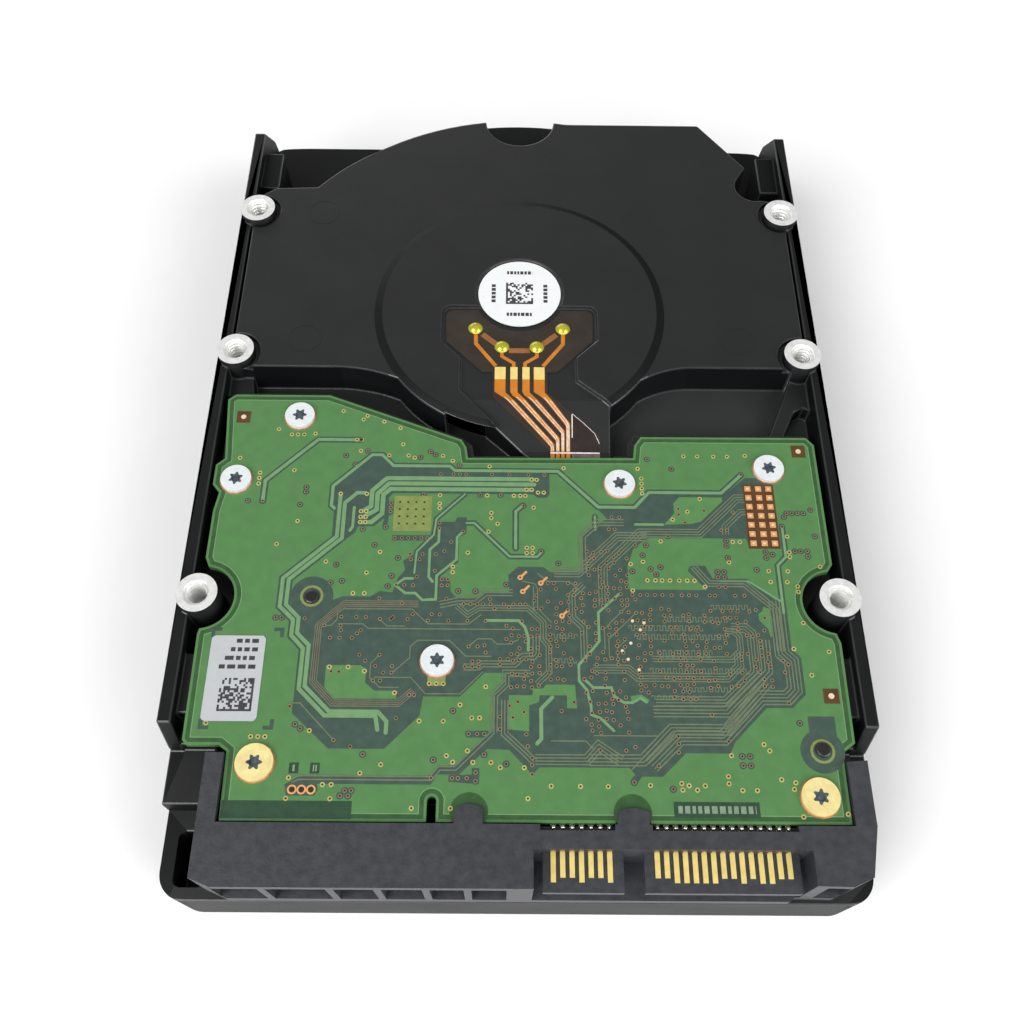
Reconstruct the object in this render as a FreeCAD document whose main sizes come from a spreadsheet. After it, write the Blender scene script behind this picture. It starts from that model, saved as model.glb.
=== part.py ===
import FreeCAD, Part
import math
import os

import Sketcher

from FreeCAD import Placement, Rotation, Vector

# A 3.5-inch hard disk drive lying on its top cover, with its circuit board facing up.
# Row frame: +X to the right seen from the connector end, +Y away from the connector end,
# +Z up out of the circuit board. The origin is the middle of the footprint, on the cover.

doc = FreeCAD.newDocument("HardDiskDrive")
dims = doc.addObject("Spreadsheet::Sheet", "dims")

DIMENSIONS = (
    # overall size of the 3.5-inch form factor
    ("drive_width", 101.6),
    ("drive_length", 147.0),
    ("drive_height", 26.1),
    ("corner_radius", 4.0),
    # levels of the casting, measured up from the outer face of the cover
    ("cover_thickness", 0.5),
    ("flange_level", 12.6),
    ("ledge_level", 16.6),
    ("floor_level", 18.9),
    ("deck_level", 25.2),
    ("disc_level", 25.8),
    ("rail_level", 24.8),
    ("rail_thickness", 2.0),
    ("side_boss_level", 22.8),
    ("front_step_height", 2.9),
    ("lower_edge_round", 0.8),
    ("cover_recess_depth", 0.15),
    ("cover_label_level", 0.05),
    ("cover_label_thickness", 0.1),
    ("board_support_level", 23.3),
    # inner cover, its gasket and the sealed chamber
    ("inner_cover_level", 0.9),
    ("inner_cover_thickness", 0.8),
    ("gasket_thickness", 0.4),
    ("chamber_roof", 17.6),
    ("motor_roof", 23.2),
    ("bowl_radius", 48.3),
    ("rear_cavity_radius", 38.5),
    ("motor_cavity_radius", 22.5),
    # mounting holes, 6-32 threads
    ("mount_hole_radius", 1.6),
    ("mount_sink_radius", 2.0),
    ("mount_sink_depth", 0.4),
    ("mount_boss_radius", 3.1),
    ("mount_groove_radius", 3.95),
    ("mount_hole_depth", 5.5),
    ("side_hole_level", 19.75),
    ("side_hole_depth", 5.0),
    # deck around the spindle
    ("deck_edge_radius", 46.2),
    ("bowl_wall_radius", 50.2),
    ("disc_radius", 25.0),
    ("disc_top_radius", 23.6),
    ("notch_radius", 6.46),
    ("notch_y", 67.9),
    ("label_pocket_radius", 7.55),
    ("label_pocket_depth", 0.35),
    ("label_gap", 0.4),
    ("label_y", 25.05),
    ("flex_channel_depth", 0.6),
    ("bridge_low_level", 22.8),
    ("bridge_left", -9.8),
    ("bridge_width", 24.7),
    ("cable_thickness", 0.15),
    ("tray_recess_depth", 7.0),
    ("boss_groove_depth", 1.2),
    ("motor_label_thickness", 0.15),
    # circuit board and what is on it
    ("board_thickness", 1.0),
    ("board_hole_radius", 1.5),
    ("post_radius", 2.9),
    ("post_bore_radius", 1.1),
    ("post_bore_depth", 4.6),
    ("pin_radius", 1.1),
    ("pin_hole_radius", 1.35),
    ("pin_level", 24.7),
    ("white_head_radius", 2.4),
    ("gold_head_radius", 2.65),
    ("screw_head_height", 0.55),
    ("screw_shank_radius", 1.05),
    ("screw_shank_length", 4.8),
    ("socket_radius", 0.75),
    ("socket_floor", 0.2),
    ("board_label_thickness", 0.1),
    ("chip_height", 1.2),
    ("capacitor_height", 0.9),
    ("inductor_height", 1.8),
    ("foam_thickness", 1.3),
    # connector
    ("housing_bottom", 13.0),
    ("housing_top", 25.0),
    ("arm_bottom", 19.3),
    ("tongue_bottom", 20.6),
    ("contact_level", 22.0),
    ("contact_pitch", 1.27),
    ("contact_width", 0.8),
    ("contact_thickness", 0.2),
    ("tail_level", 23.5),
    ("plug_cavity_height", 5.6),
    ("tongue_gap_depth", 2.0),
    ("tail_recess_depth", 1.7),
    ("window_level", 23.4),
    ("window_depth", 8.4),
    # spindle motor, on its own axis
    ("spindle_x", 0.0),
    ("spindle_y", 21.8),
    ("shaft_radius", 2.5),
    ("shaft_bottom", 1.75),
    ("shaft_top", 24.6),
    ("shaft_screw_radius", 1.0),
    ("shaft_screw_bore_depth", 5.0),
    ("shaft_screw_head_radius", 3.0),
    ("running_clearance", 0.05),
    ("sleeve_radius", 3.6),
    ("stator_boss_inner", 4.0),
    ("stator_boss_radius", 6.4),
    ("stator_boss_bottom", 18.4),
    ("stator_bottom", 18.8),
    ("stator_thickness", 3.2),
    ("stator_tip_radius", 13.2),
    ("magnet_inner_radius", 13.6),
    ("skirt_inner_radius", 14.8),
    ("skirt_radius", 16.0),
    ("skirt_top", 22.6),
    ("hub_radius", 12.45),
    ("hub_bottom", 2.9),
    ("rotor_magnet_bottom", 18.0),
    ("rotor_magnet_top", 22.4),
    ("flange_thickness", 1.075),
    # disks
    ("platter_radius", 47.5),
    ("platter_bore_radius", 12.5),
    ("platter_thickness", 0.7),
    ("platter_gap", 1.375),
    ("platter_first_level", 3.075),
    ("spacer_radius", 15.5),
    ("clamp_bottom", 2.05),
    ("clamp_radius", 15.8),
    ("clamp_bore_radius", 4.2),
    ("clamp_rim_radius", 13.0),
    ("clamp_screw_circle", 9.2),
    ("clamp_screw_radius", 0.95),
    ("clamp_screw_bore_radius", 1.0),
    ("clamp_screw_bore_depth", 5.0),
    ("clamp_screw_length", 4.5),
    ("clamp_head_radius", 1.7),
    ("clamp_head_height", 0.45),
    ("clamp_sink_radius", 1.75),
    # actuator, on its own axis
    ("pivot_x", 15.0),
    ("pivot_y", -33.0),
    ("pivot_shaft_radius", 2.2),
    ("cartridge_radius", 5.0),
    ("block_radius", 8.0),
    ("block_bottom", 2.1),
    ("block_top", 17.2),
    ("arm_thickness", 0.75),
    ("arm_tip_reach", 37.0),
    ("head_reach", 51.0),
    ("park_angle", 160.9),
    ("suspension_thickness", 0.12),
    ("coil_bottom", 8.4),
    ("coil_thickness", 3.2),
    ("coil_inner_reach", 10.5),
    ("coil_outer_reach", 24.6),
    ("coil_frame_reach", 26.0),
    ("coil_half_angle", 20.0),
    ("yoke_thickness", 2.0),
    ("lower_yoke_level", 2.5),
    ("upper_yoke_level", 15.4),
    ("voice_magnet_thickness", 2.6),
    ("yoke_post_radius", 1.6),
    ("crash_stop_radius", 1.2),
    ("slider_length", 1.2),
    ("slider_width", 0.84),
    ("slider_height", 0.18),
    # latch and the other loose pieces of the chamber
    ("latch_x", 43.0),
    ("latch_y", -24.4),
    ("latch_pin_radius", 0.8),
    ("latch_eye_radius", 1.9),
    ("latch_bottom", 7.8),
    ("latch_height", 4.4),
    ("bracket_bottom", 6.0),
    ("bracket_height", 10.4),
    ("head_ribbon_bottom", 6.5),
    ("head_ribbon_height", 9.0),
    ("head_ribbon_thickness", 0.2),
    ("ramp_bottom", 2.3),
    ("ramp_height", 15.3),
    ("filter_bottom", 3.0),
    ("filter_height", 13.6),
    ("desiccant_height", 14.0),
)
for row, (alias, value) in enumerate(DIMENSIONS, start=1):
    dims.set("A%d" % row, alias)
    dims.set("B%d" % row, str(value))
    dims.setAlias("B%d" % row, alias)
doc.recompute()


def dim(alias):
    return float(dims.get(alias))


PLATTER_COUNT = 7
ARM_COUNT = PLATTER_COUNT + 1
STATOR_TEETH = 9
SIGNAL_CONTACTS = 7
POWER_CONTACTS = 15
LONG_SIGNAL_CONTACTS = (1, 4, 7)
LONG_POWER_CONTACTS = (3, 4, 5, 6, 7, 10, 12, 13)

HALF_WIDTH = dim("drive_width") / 2
HALF_LENGTH = dim("drive_length") / 2
SPINDLE = (dim("spindle_x"), dim("spindle_y"))
PIVOT = (dim("pivot_x"), dim("pivot_y"))

# places of repeated features, all in the row frame
MOUNT_X = 47.625
MOUNT_Y = (-32.22, 12.23, 43.98)
SIDE_HOLE_Y = (-45.0, 56.6)
WHITE_SCREWS = ((-35.8, 0.0), (-44.7, -12.0), (15.9, -12.3), (39.8, -9.3), (-11.8, -42.0))
GOLD_SCREWS = ((-36.4, -57.0), (41.2, -61.2))
LOCATING_PINS = ((-30.9, -32.1), (42.5, -54.6))
FIRST_SIGNAL_X = 4.73
FIRST_POWER_X = 18.75

nodes = []
cuts = []


# ---------------------------------------------------------------- helpers

def keep(thing, label):
    """Give the object its node name and list it for export."""
    thing.Label = label
    nodes.append(thing)
    return thing


def around(centre, reach, degrees):
    """Point at a distance and a direction from a centre."""
    turn = math.radians(degrees)
    return (centre[0] + reach * math.cos(turn), centre[1] + reach * math.sin(turn))


def flat(point):
    return Vector(point[0], point[1], 0)


def curves(path):
    """Closed outline: a corner is (x, y), an arc is (point on the way, end point)."""
    found = []
    here = path[0]
    for step in list(path[1:]) + [path[0]]:
        is_arc = isinstance(step[0], tuple)
        end = step[1] if is_arc else step
        if math.dist(here, end) < 1e-6:
            continue
        if is_arc:
            found.append(Part.Arc(flat(here), flat(step[0]), flat(end)))
        else:
            found.append(Part.LineSegment(flat(here), flat(end)))
        here = end
    return found


def rectangle(x0, y0, x1, y1):
    return [(x0, y0), (x1, y0), (x1, y1), (x0, y1)]


def rounded_rectangle(x0, y0, x1, y1, radius):
    """Rectangle with quarter-round corners."""
    rest = radius * (1 - math.sqrt(0.5))
    return [
        (x0 + radius, y0),
        (x1 - radius, y0),
        ((x1 - rest, y0 + rest), (x1, y0 + radius)),
        (x1, y1 - radius),
        ((x1 - rest, y1 - rest), (x1 - radius, y1)),
        (x0 + radius, y1),
        ((x0 + rest, y1 - rest), (x0, y1 - radius)),
        (x0, y0 + radius),
        ((x0 + rest, y0 + rest), (x0 + radius, y0)),
    ]


def mirrored(path):
    """The same outline on the other side of the middle plane."""
    flipped = []
    for step in path:
        if isinstance(step[0], tuple):
            flipped.append(((-step[0][0], step[0][1]), (-step[1][0], step[1][1])))
        else:
            flipped.append((-step[0], step[1]))
    return flipped


def sector(centre, inner, outer, start, end):
    """Outline of a ring segment between two directions."""
    middle = (start + end) / 2
    return [
        around(centre, inner, start),
        around(centre, outer, start),
        (around(centre, outer, middle), around(centre, outer, end)),
        around(centre, inner, end),
        (around(centre, inner, middle), around(centre, inner, start)),
    ]


def new_body(name):
    body = doc.addObject("PartDesign::Body", name)
    body.AllowCompound = True
    return body


def plane(body, role):
    for feature in body.Origin.OriginFeatures:
        if feature.Role == role:
            return feature
    raise ValueError(role)


def new_sketch(body, name, level, role="XY_Plane"):
    """Sketch parallel to one of the body's own planes, at a level given as an expression."""
    sketch = body.newObject("Sketcher::SketchObject", name + "_sketch")
    sketch.AttachmentSupport = (plane(body, role), [""])
    sketch.MapMode = "FlatFace"
    sketch.setExpression("AttachmentOffset.Base.z", level)
    return sketch


def draw(sketch, paths=(), circles=()):
    """Put outlines in a sketch, and circles as (centre, expression of the radius)."""
    for path in paths:
        for curve in curves(path):
            sketch.addGeometry(curve, False)
    for centre, radius in circles:
        index = sketch.addGeometry(Part.Circle(flat(centre), Vector(0, 0, 1), 1.0), False)
        constraint = "radius_%d" % index
        number = sketch.addConstraint(Sketcher.Constraint("Radius", index, 1.0))
        sketch.renameConstraint(number, constraint)
        sketch.setExpression("Constraints." + constraint, radius)
    return sketch


def pad(body, name, level, length, paths=(), circles=(), role="XY_Plane"):
    """Solid grown from a level by a length, along the plane's normal."""
    sketch = draw(new_sketch(body, name, level, role), paths, circles)
    feature = body.newObject("PartDesign::Pad", name)
    feature.Profile = sketch
    feature.setExpression("Length", length)
    sketch.Visibility = False
    return feature


def pocket(body, name, level, depth, paths=(), circles=(), role="XY_Plane", along=False):
    """Cut from a level against the plane's normal, or along it."""
    before = body.Tip
    sketch = draw(new_sketch(body, name, level, role), paths, circles)
    feature = body.newObject("PartDesign::Pocket", name)
    feature.Profile = sketch
    feature.Reversed = along
    feature.setExpression("Length", depth)
    sketch.Visibility = False
    cuts.append((before, feature))
    return feature


def revolve(body, name, profile, level="0", angle=360.0):
    """Profile of (radius, height) corners turned about the vertical axis of its plane."""
    sketch = draw(new_sketch(body, name, level, "XZ_Plane"), [profile])
    feature = body.newObject("PartDesign::Revolution", name)
    feature.Profile = sketch
    feature.ReferenceAxis = (sketch, ["V_Axis"])
    feature.Angle = angle
    return feature


def place_on(body, axis):
    """Stand a body that was modelled about the origin on the spindle or the pivot."""
    body.setExpression("Placement.Base.x", "dims.%s_x" % axis)
    body.setExpression("Placement.Base.y", "dims.%s_y" % axis)


def turned(label, profile, axis):
    body = new_body(label)
    revolve(body, label + "_turning", profile)
    place_on(body, axis)
    return keep(body, label)


def plate(label, level, thickness, paths=(), circles=()):
    """Flat piece of one thickness."""
    body = new_body(label)
    pad(body, label + "_plate", level, thickness, paths, circles)
    return keep(body, label)


def solid_group(label, shapes):
    """Several identical loose pieces as one node."""
    group = doc.addObject("Part::Feature", label)
    group.Shape = Part.makeCompound(shapes)
    return keep(group, label)


def prism(path, bottom, height):
    """Upright solid of an outline, for pieces that are placed many times."""
    edges = [curve.toShape() for curve in curves(path)]
    face = Part.Face(Part.Wire(edges))
    face.translate(Vector(0, 0, bottom))
    return face.extrude(Vector(0, 0, height))


def post(centre, radius, bottom, height):
    return Part.makeCylinder(radius, height, Vector(centre[0], centre[1], bottom))


# ---------------------------------------------------------------- outlines

def footprint(inset):
    radius = dim("corner_radius") - inset * 0.8
    x = HALF_WIDTH - inset
    y = HALF_LENGTH - inset
    return rounded_rectangle(-x, -y, x, y, radius)


def middle_block_outline():
    """Casting above the flange: straight sides, corners cut for the ledges, bowl at the rear."""
    side = HALF_WIDTH - dim("rail_thickness")
    reach = HALF_LENGTH - SPINDLE[1]
    rise = math.sqrt(reach ** 2 - side ** 2)
    return [
        (-38.0, -61.5),
        (38.0, -61.5),
        (38.0, -53.0),
        (side, -53.0),
        (side, SPINDLE[1] + rise),
        (around(SPINDLE, reach, 55), around(SPINDLE, reach, 90)),
        (around(SPINDLE, reach, 125), (-side, SPINDLE[1] + rise)),
        (-side, -53.0),
        (-38.0, -53.0),
    ]


def deck_outline():
    """Raised deck over the disks, ending in the round motor base at its front edge."""
    edge = 48.3
    front = dim("disc_radius")
    return [
        (34.3, 67.2),
        (-3.0, 67.2),
        (-7.1, 66.2),
        ((-22.7, 61.9), (-37.4, 50.1)),
        (-45.0, 49.8),
        (-edge, 47.4),
        (-edge, 9.4),
        (-30.0, 9.4),
        ((-25.0, 8.7), around(SPINDLE, front, 216)),
        (around(SPINDLE, front, 270), around(SPINDLE, front, 324)),
        ((24.0, 8.9), (28.5, 9.8)),
        (edge, 9.8),
        (edge, 47.4),
        (44.5, 47.9),
        ((40.6, 49.6), (40.6, 53.2)),
        (42.4, 56.1),
    ]


def channel_outline():
    """T-shaped recess that takes the flat cable from the motor to the board."""
    return [
        (-11.7, 22.1),
        ((-12.76, 21.66), (-13.2, 20.6)),
        (-13.2, 14.7),
        (-9.9, 11.2),
        (-9.8, 4.6),
        (-0.9, -5.3),
        (-0.9, -8.5),
        (14.9, -8.5),
        (14.9, 2.2),
        (9.5, 6.7),
        (9.5, 11.4),
        (13.2, 15.0),
        (13.2, 20.6),
        ((12.76, 21.66), (11.7, 22.1)),
    ]


def cable_outline():
    """The flat cable itself: a wide head at the motor, a cranked tail under the board."""
    return [
        (-11.3, 21.5),
        ((-12.2, 21.1), (-12.6, 20.2)),
        (-12.4, 14.8),
        (-6.2, 8.5),
        (-4.6, 8.5),
        (-4.4, 3.4),
        (5.0, -5.4),
        (5.0, -11.5),
        (13.3, -11.5),
        (13.3, -3.0),
        (8.6, 0.9),
        (4.7, 4.3),
        (4.7, 8.5),
        (6.2, 8.5),
        (12.4, 14.8),
        (12.6, 20.2),
        ((12.2, 21.1), (11.3, 21.5)),
        (7.1, 21.5),
        ((0.0, 17.05), (-7.1, 21.5)),
    ]


def chamber_outline(margin):
    """Inside wall of the sealed chamber, or a line outside it by a margin."""
    bowl = dim("bowl_radius") + margin
    left = -44.0 - margin
    right = 45.5 + margin
    front = -59.3 - margin
    corner = 4.0
    rest = corner * (1 - math.sqrt(0.5))
    left_y = SPINDLE[1] - math.sqrt(bowl ** 2 - left ** 2)
    right_y = SPINDLE[1] - math.sqrt(bowl ** 2 - right ** 2)
    return [
        (left, left_y),
        (left, front + corner),
        ((left + rest, front + rest), (left + corner, front)),
        (right - corner, front),
        ((right - rest, front + rest), (right, front + corner)),
        (right, right_y),
        ((SPINDLE[0] + bowl, SPINDLE[1]), (SPINDLE[0], SPINDLE[1] + bowl)),
        ((SPINDLE[0] - bowl, SPINDLE[1]), (left, left_y)),
    ]


def motor_cavity_outline():
    """Deep part of the chamber under the deck: a rear bowl joined to the round motor well."""
    rear = dim("rear_cavity_radius")
    well = dim("motor_cavity_radius")
    front = 12.5
    drop = SPINDLE[1] - front
    rear_x = math.sqrt(rear ** 2 - drop ** 2)
    well_x = math.sqrt(well ** 2 - drop ** 2)
    return [
        (rear_x, front),
        ((SPINDLE[0], SPINDLE[1] + rear), (-rear_x, front)),
        (-well_x, front),
        ((SPINDLE[0], SPINDLE[1] - well), (well_x, front)),
    ]


def board_outline(margin=0.0):
    """Circuit board, with round bites for the two front mounting bosses."""
    boss_y = MOUNT_Y[0]
    bite = 5.2
    return [
        (-48.0, 3.2 + margin),
        (-46.8, 4.2 + margin),
        (-31.3, 4.2 + margin),
        (-9.3, -4.2 + margin),
        (-8.5 + margin, -5.6 + margin),
        (-8.2 + margin, -7.6 + margin),
        (18.3 - margin, -7.4 + margin),
        (18.6 - margin, -5.0 + margin),
        (19.7 - margin, -3.4 + margin),
        (46.6, -3.3 + margin),
        (47.7, -4.7),
        (47.7, -26.0),
        (46.9, -27.2),
        ((MOUNT_X - bite, boss_y), (46.8, -37.2)),
        (47.3, -38.8),
        (47.1, -53.6),
        (45.2, -55.0),
        (45.1, -64.8),
        (-40.3, -64.8),
        (-40.5, -55.4),
        (-41.7, -54.5),
        (-46.3, -54.5),
        (-46.9, -53.8),
        (-47.1, -38.0),
        (-46.9, -37.2),
        ((bite - MOUNT_X, boss_y), (-46.9, -27.2)),
        (-47.6, -25.7),
        (-47.6, -17.6),
        (-47.1, -14.3),
        (-48.3, -12.9),
        (-48.3, -9.3),
        (-47.0, -8.1),
    ]


def housing_outline():
    """Connector housing in plan, without its two arms."""
    return [
        (-43.2, -65.1),
        (-43.2, -72.3),
        (-40.3, -73.4),
        (37.9, -73.4),
        (38.6, -72.8),
        (44.0, -72.9),
        (46.8, -71.7),
        (48.2, -65.1),
    ]


def yoke_outline():
    """Voice-coil motor plate, cut back around the pivot."""
    clear = 9.6
    return [
        (7.0, -58.8),
        (41.4, -58.8),
        (45.2, -55.2),
        (45.2, -27.2),
        (40.0, -27.2),
        around(PIVOT, clear, 20),
        (around(PIVOT, clear, -40), around(PIVOT, clear, 256)),
        (7.0, -50.0),
    ]


# ---------------------------------------------------------------- casting and covers

def casting_outside(body):
    pad(body, "flange_block", "dims.cover_thickness",
        "dims.flange_level - dims.cover_thickness", [footprint(0.0)])
    doc.recompute()
    block = body.Tip
    level = dim("cover_thickness")
    lower_edges = ["Edge%d" % number for number, edge in enumerate(block.Shape.Edges, start=1)
                   if edge.BoundBox.ZMax < level + 0.01]
    rounding = body.newObject("PartDesign::Fillet", "lower_edge")
    rounding.Base = (block, lower_edges)
    rounding.setExpression("Radius", "dims.lower_edge_round")
    pad(body, "middle_block", "dims.flange_level",
        "dims.floor_level - dims.flange_level", [middle_block_outline()])
    base = dim("flange_level")
    top = dim("deck_level")
    wall = [(0.0, base), (dim("bowl_wall_radius"), base), (dim("bowl_wall_radius"), base + 6.5),
            (dim("deck_edge_radius"), top), (0.0, top)]
    revolve(body, "bowl_wall", wall, "-dims.spindle_y", 180.0)
    pad(body, "deck", "dims.flange_level", "dims.deck_level - dims.flange_level",
        [deck_outline()])
    disc = [(0.0, top - 1.0), (dim("disc_radius"), top - 1.0), (dim("disc_radius"), top),
            (dim("disc_top_radius"), dim("disc_level")), (0.0, dim("disc_level"))]
    revolve(body, "motor_disc", disc, "-dims.spindle_y")


def casting_rails(body):
    """Two thin side rails, each ending in a pointed ear at the rear."""
    top = dim("rail_level")
    profile = [(-53.2, 12.6), (-53.2, 17.5), (-51.5, top), (64.3, top), (69.2, 18.6),
               (71.2, 12.6)]
    pad(body, "right_rail", "dims.drive_width / 2 - dims.rail_thickness",
        "dims.rail_thickness", [profile], role="YZ_Plane")
    pad(body, "left_rail", "-dims.drive_width / 2", "dims.rail_thickness", [profile],
        role="YZ_Plane")


def casting_ledges(body):
    """Corner ledges beside the connector arms and the thick pads around the side holes."""
    ledge = rectangle(38.0, -61.0, HALF_WIDTH, -53.0)
    pad(body, "ledges", "dims.flange_level", "dims.ledge_level - dims.flange_level",
        [ledge, mirrored(ledge)])
    pads = []
    for y in SIDE_HOLE_Y:
        right = rectangle(45.3, y - 4.5, HALF_WIDTH - 0.2, y + 4.5)
        pads += [right, mirrored(right)]
    pad(body, "side_pads", "dims.flange_level", "dims.side_boss_level - dims.flange_level",
        pads)
    steps = [
        [(46.2, 9.9), (49.9, 9.9), (49.4, 3.4), (47.6, 4.2), (46.0, 3.2), (43.1, -3.0),
         (40.7, -3.0)],
        [(-48.9, 9.5), (-45.1, 9.5), (-44.5, 5.6), (-48.9, 5.6)],
    ]
    pad(body, "front_steps", "dims.floor_level", "dims.front_step_height", steps)


SLOPE_TOP_Y = 3.0
SLOPE_FOOT_Y = -5.5
BRIDGE_END_Y = -13.0
# start and length, as expressions, of blocks that take in the whole cable channel
CHANNEL_SPAN = ("-14", "30")
CHANNEL_RISE = ("dims.floor_level + 1", "8")


def casting_cable_bridge(body):
    """Sloping bridge that carries the flat cable down from the motor disc to the board."""
    low = dim("bridge_low_level")
    high = dim("deck_level")
    floor = dim("floor_level")
    profile = [(8.0, floor), (8.0, high), (SLOPE_TOP_Y, high), (SLOPE_FOOT_Y, low),
               (BRIDGE_END_Y, low), (BRIDGE_END_Y, floor)]
    pad(body, "cable_bridge", "dims.bridge_left", "dims.bridge_width", [profile],
        role="YZ_Plane")
    corner = [(-12.0, 3.2), (-9.1, 3.2), (1.6, -6.8), (1.6, -14.0), (-12.0, -14.0)]
    pocket(body, "bridge_corner", "dims.deck_level + 0.1",
           "dims.deck_level + 0.1 - dims.floor_level", [corner])


def casting_top_recesses(body):
    pocket(body, "cable_channel", "dims.disc_level", "dims.flex_channel_depth",
           [channel_outline()])
    pocket(body, "label_pocket", "dims.disc_level", "dims.label_pocket_depth", [],
           [((0.0, dim("label_y")), "dims.label_pocket_radius")])
    notch = dim("notch_radius")
    notch_y = dim("notch_y")
    opening = [(-notch, notch_y), ((0.0, notch_y - notch), (notch, notch_y)), (notch, 74.5),
               (-notch, 74.5)]
    pocket(body, "rear_notch", "dims.deck_level + 0.1",
           "dims.deck_level + 0.1 - dims.floor_level", [opening])
    tray = rounded_rectangle(-48.8, -71.6, -44.3, -64.0, 1.0)
    pocket(body, "tray_recess", "dims.flange_level", "dims.tray_recess_depth", [tray])


def mount_places():
    return [(side * MOUNT_X, y) for y in MOUNT_Y for side in (-1, 1)]


def casting_boss_grooves(body):
    """Shallow grooves in the deck round the four rear bosses."""
    rear = [place for place in mount_places() if place[1] > 0]
    pocket(body, "boss_grooves", "dims.deck_level + 0.1", "dims.boss_groove_depth", [],
           [(place, "dims.mount_groove_radius") for place in rear])


def casting_mounts(body):
    """Six threaded bosses under the board side and two threaded holes in each side."""
    pad(body, "mount_bosses", "dims.flange_level", "dims.drive_height - dims.flange_level", [],
        [(place, "dims.mount_boss_radius") for place in mount_places()])
    pocket(body, "mount_holes", "dims.drive_height", "dims.mount_hole_depth", [],
           [(place, "dims.mount_hole_radius") for place in mount_places()])
    pocket(body, "mount_sinks", "dims.drive_height", "dims.mount_sink_depth", [],
           [(place, "dims.mount_sink_radius") for place in mount_places()])
    places = [((y, dim("side_hole_level")), "dims.mount_hole_radius") for y in SIDE_HOLE_Y]
    pocket(body, "right_side_holes", "dims.drive_width / 2", "dims.side_hole_depth", [],
           places, role="YZ_Plane")
    pocket(body, "left_side_holes", "-dims.drive_width / 2", "dims.side_hole_depth", [],
           places, role="YZ_Plane", along=True)


def casting_board_posts(body):
    """Threaded posts for the board screws and two plain pins that locate the board."""
    screws = WHITE_SCREWS + GOLD_SCREWS
    pad(body, "board_posts", "dims.flange_level",
        "dims.board_support_level - dims.flange_level", [],
        [(place, "dims.post_radius") for place in screws])
    pad(body, "pin_shoulders", "dims.flange_level",
        "dims.board_support_level - dims.flange_level", [],
        [(place, "dims.pin_radius * 2") for place in LOCATING_PINS])
    pad(body, "locating_pins", "dims.board_support_level",
        "dims.pin_level - dims.board_support_level", [],
        [(place, "dims.pin_radius") for place in LOCATING_PINS])
    pocket(body, "post_bores", "dims.board_support_level", "dims.post_bore_depth", [],
           [(place, "dims.post_bore_radius") for place in screws])


def casting_inside(body):
    """Sealed chamber open towards the cover, the motor well and the stator boss."""
    pocket(body, "chamber", "dims.chamber_roof", "dims.chamber_roof", [chamber_outline(0.0)])
    ledge = "dims.inner_cover_level + dims.inner_cover_thickness + dims.gasket_thickness"
    pocket(body, "cover_seat", ledge, ledge, [chamber_outline(1.2)])
    pocket(body, "motor_well", "dims.motor_roof", "dims.motor_roof - dims.chamber_roof + 0.1",
           [motor_cavity_outline()])
    pad(body, "stator_boss", "dims.stator_boss_bottom",
        "dims.motor_roof - dims.stator_boss_bottom", [],
        [(SPINDLE, "dims.stator_boss_inner"), (SPINDLE, "dims.stator_boss_radius")])
    pocket(body, "shaft_seat", "dims.motor_roof", "dims.shaft_top - dims.motor_roof", [],
           [(SPINDLE, "dims.shaft_radius")], along=True)
    pocket(body, "cable_port", "dims.floor_level", "dims.floor_level - dims.chamber_roof + 0.1",
           [rectangle(35.4, -23.1, 40.4, -13.1)])


def room_over_slope():
    """Space of the cable channel above the sloping bridge."""
    low = dim("bridge_low_level")
    high = dim("deck_level")
    above = high + 2.0
    profile = [(SLOPE_TOP_Y, high), (SLOPE_TOP_Y, above), (BRIDGE_END_Y - 0.2, above),
               (BRIDGE_END_Y - 0.2, low), (SLOPE_FOOT_Y, low)]
    wedge = new_body("slope_wedge")
    pad(wedge, "wedge_side", *CHANNEL_SPAN, [profile], role="YZ_Plane")
    plan = new_body("slope_plan")
    pad(plan, "channel_plan", *CHANNEL_RISE, [channel_outline()])
    room = doc.addObject("Part::Common", "slope_room")
    room.Base = wedge
    room.Tool = plan
    return room


def base_casting():
    body = new_body("casting_block")
    casting_outside(body)
    casting_boss_grooves(body)
    casting_rails(body)
    casting_ledges(body)
    casting_cable_bridge(body)
    casting_top_recesses(body)
    casting_board_posts(body)
    casting_mounts(body)
    casting_inside(body)
    casting = doc.addObject("Part::Cut", "base_casting")
    casting.Base = body
    casting.Tool = room_over_slope()
    keep(casting, "base_casting")


def outer_cover():
    """Thin sheet over the whole drive, with a shallow recess for the drive label."""
    body = new_body("outer_cover")
    pad(body, "cover_sheet", "0", "dims.cover_thickness", [footprint(0.9)])
    label = rounded_rectangle(-42.0, -50.0, 42.0, 58.0, 2.0)
    pocket(body, "label_recess", "0", "dims.cover_recess_depth", [label], along=True)
    keep(body, "outer_cover")
    label_sheet = rounded_rectangle(-41.6, -49.6, 41.6, 57.6, 1.8)
    plate("cover_label", "dims.cover_label_level", "dims.cover_label_thickness", [label_sheet])


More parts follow.
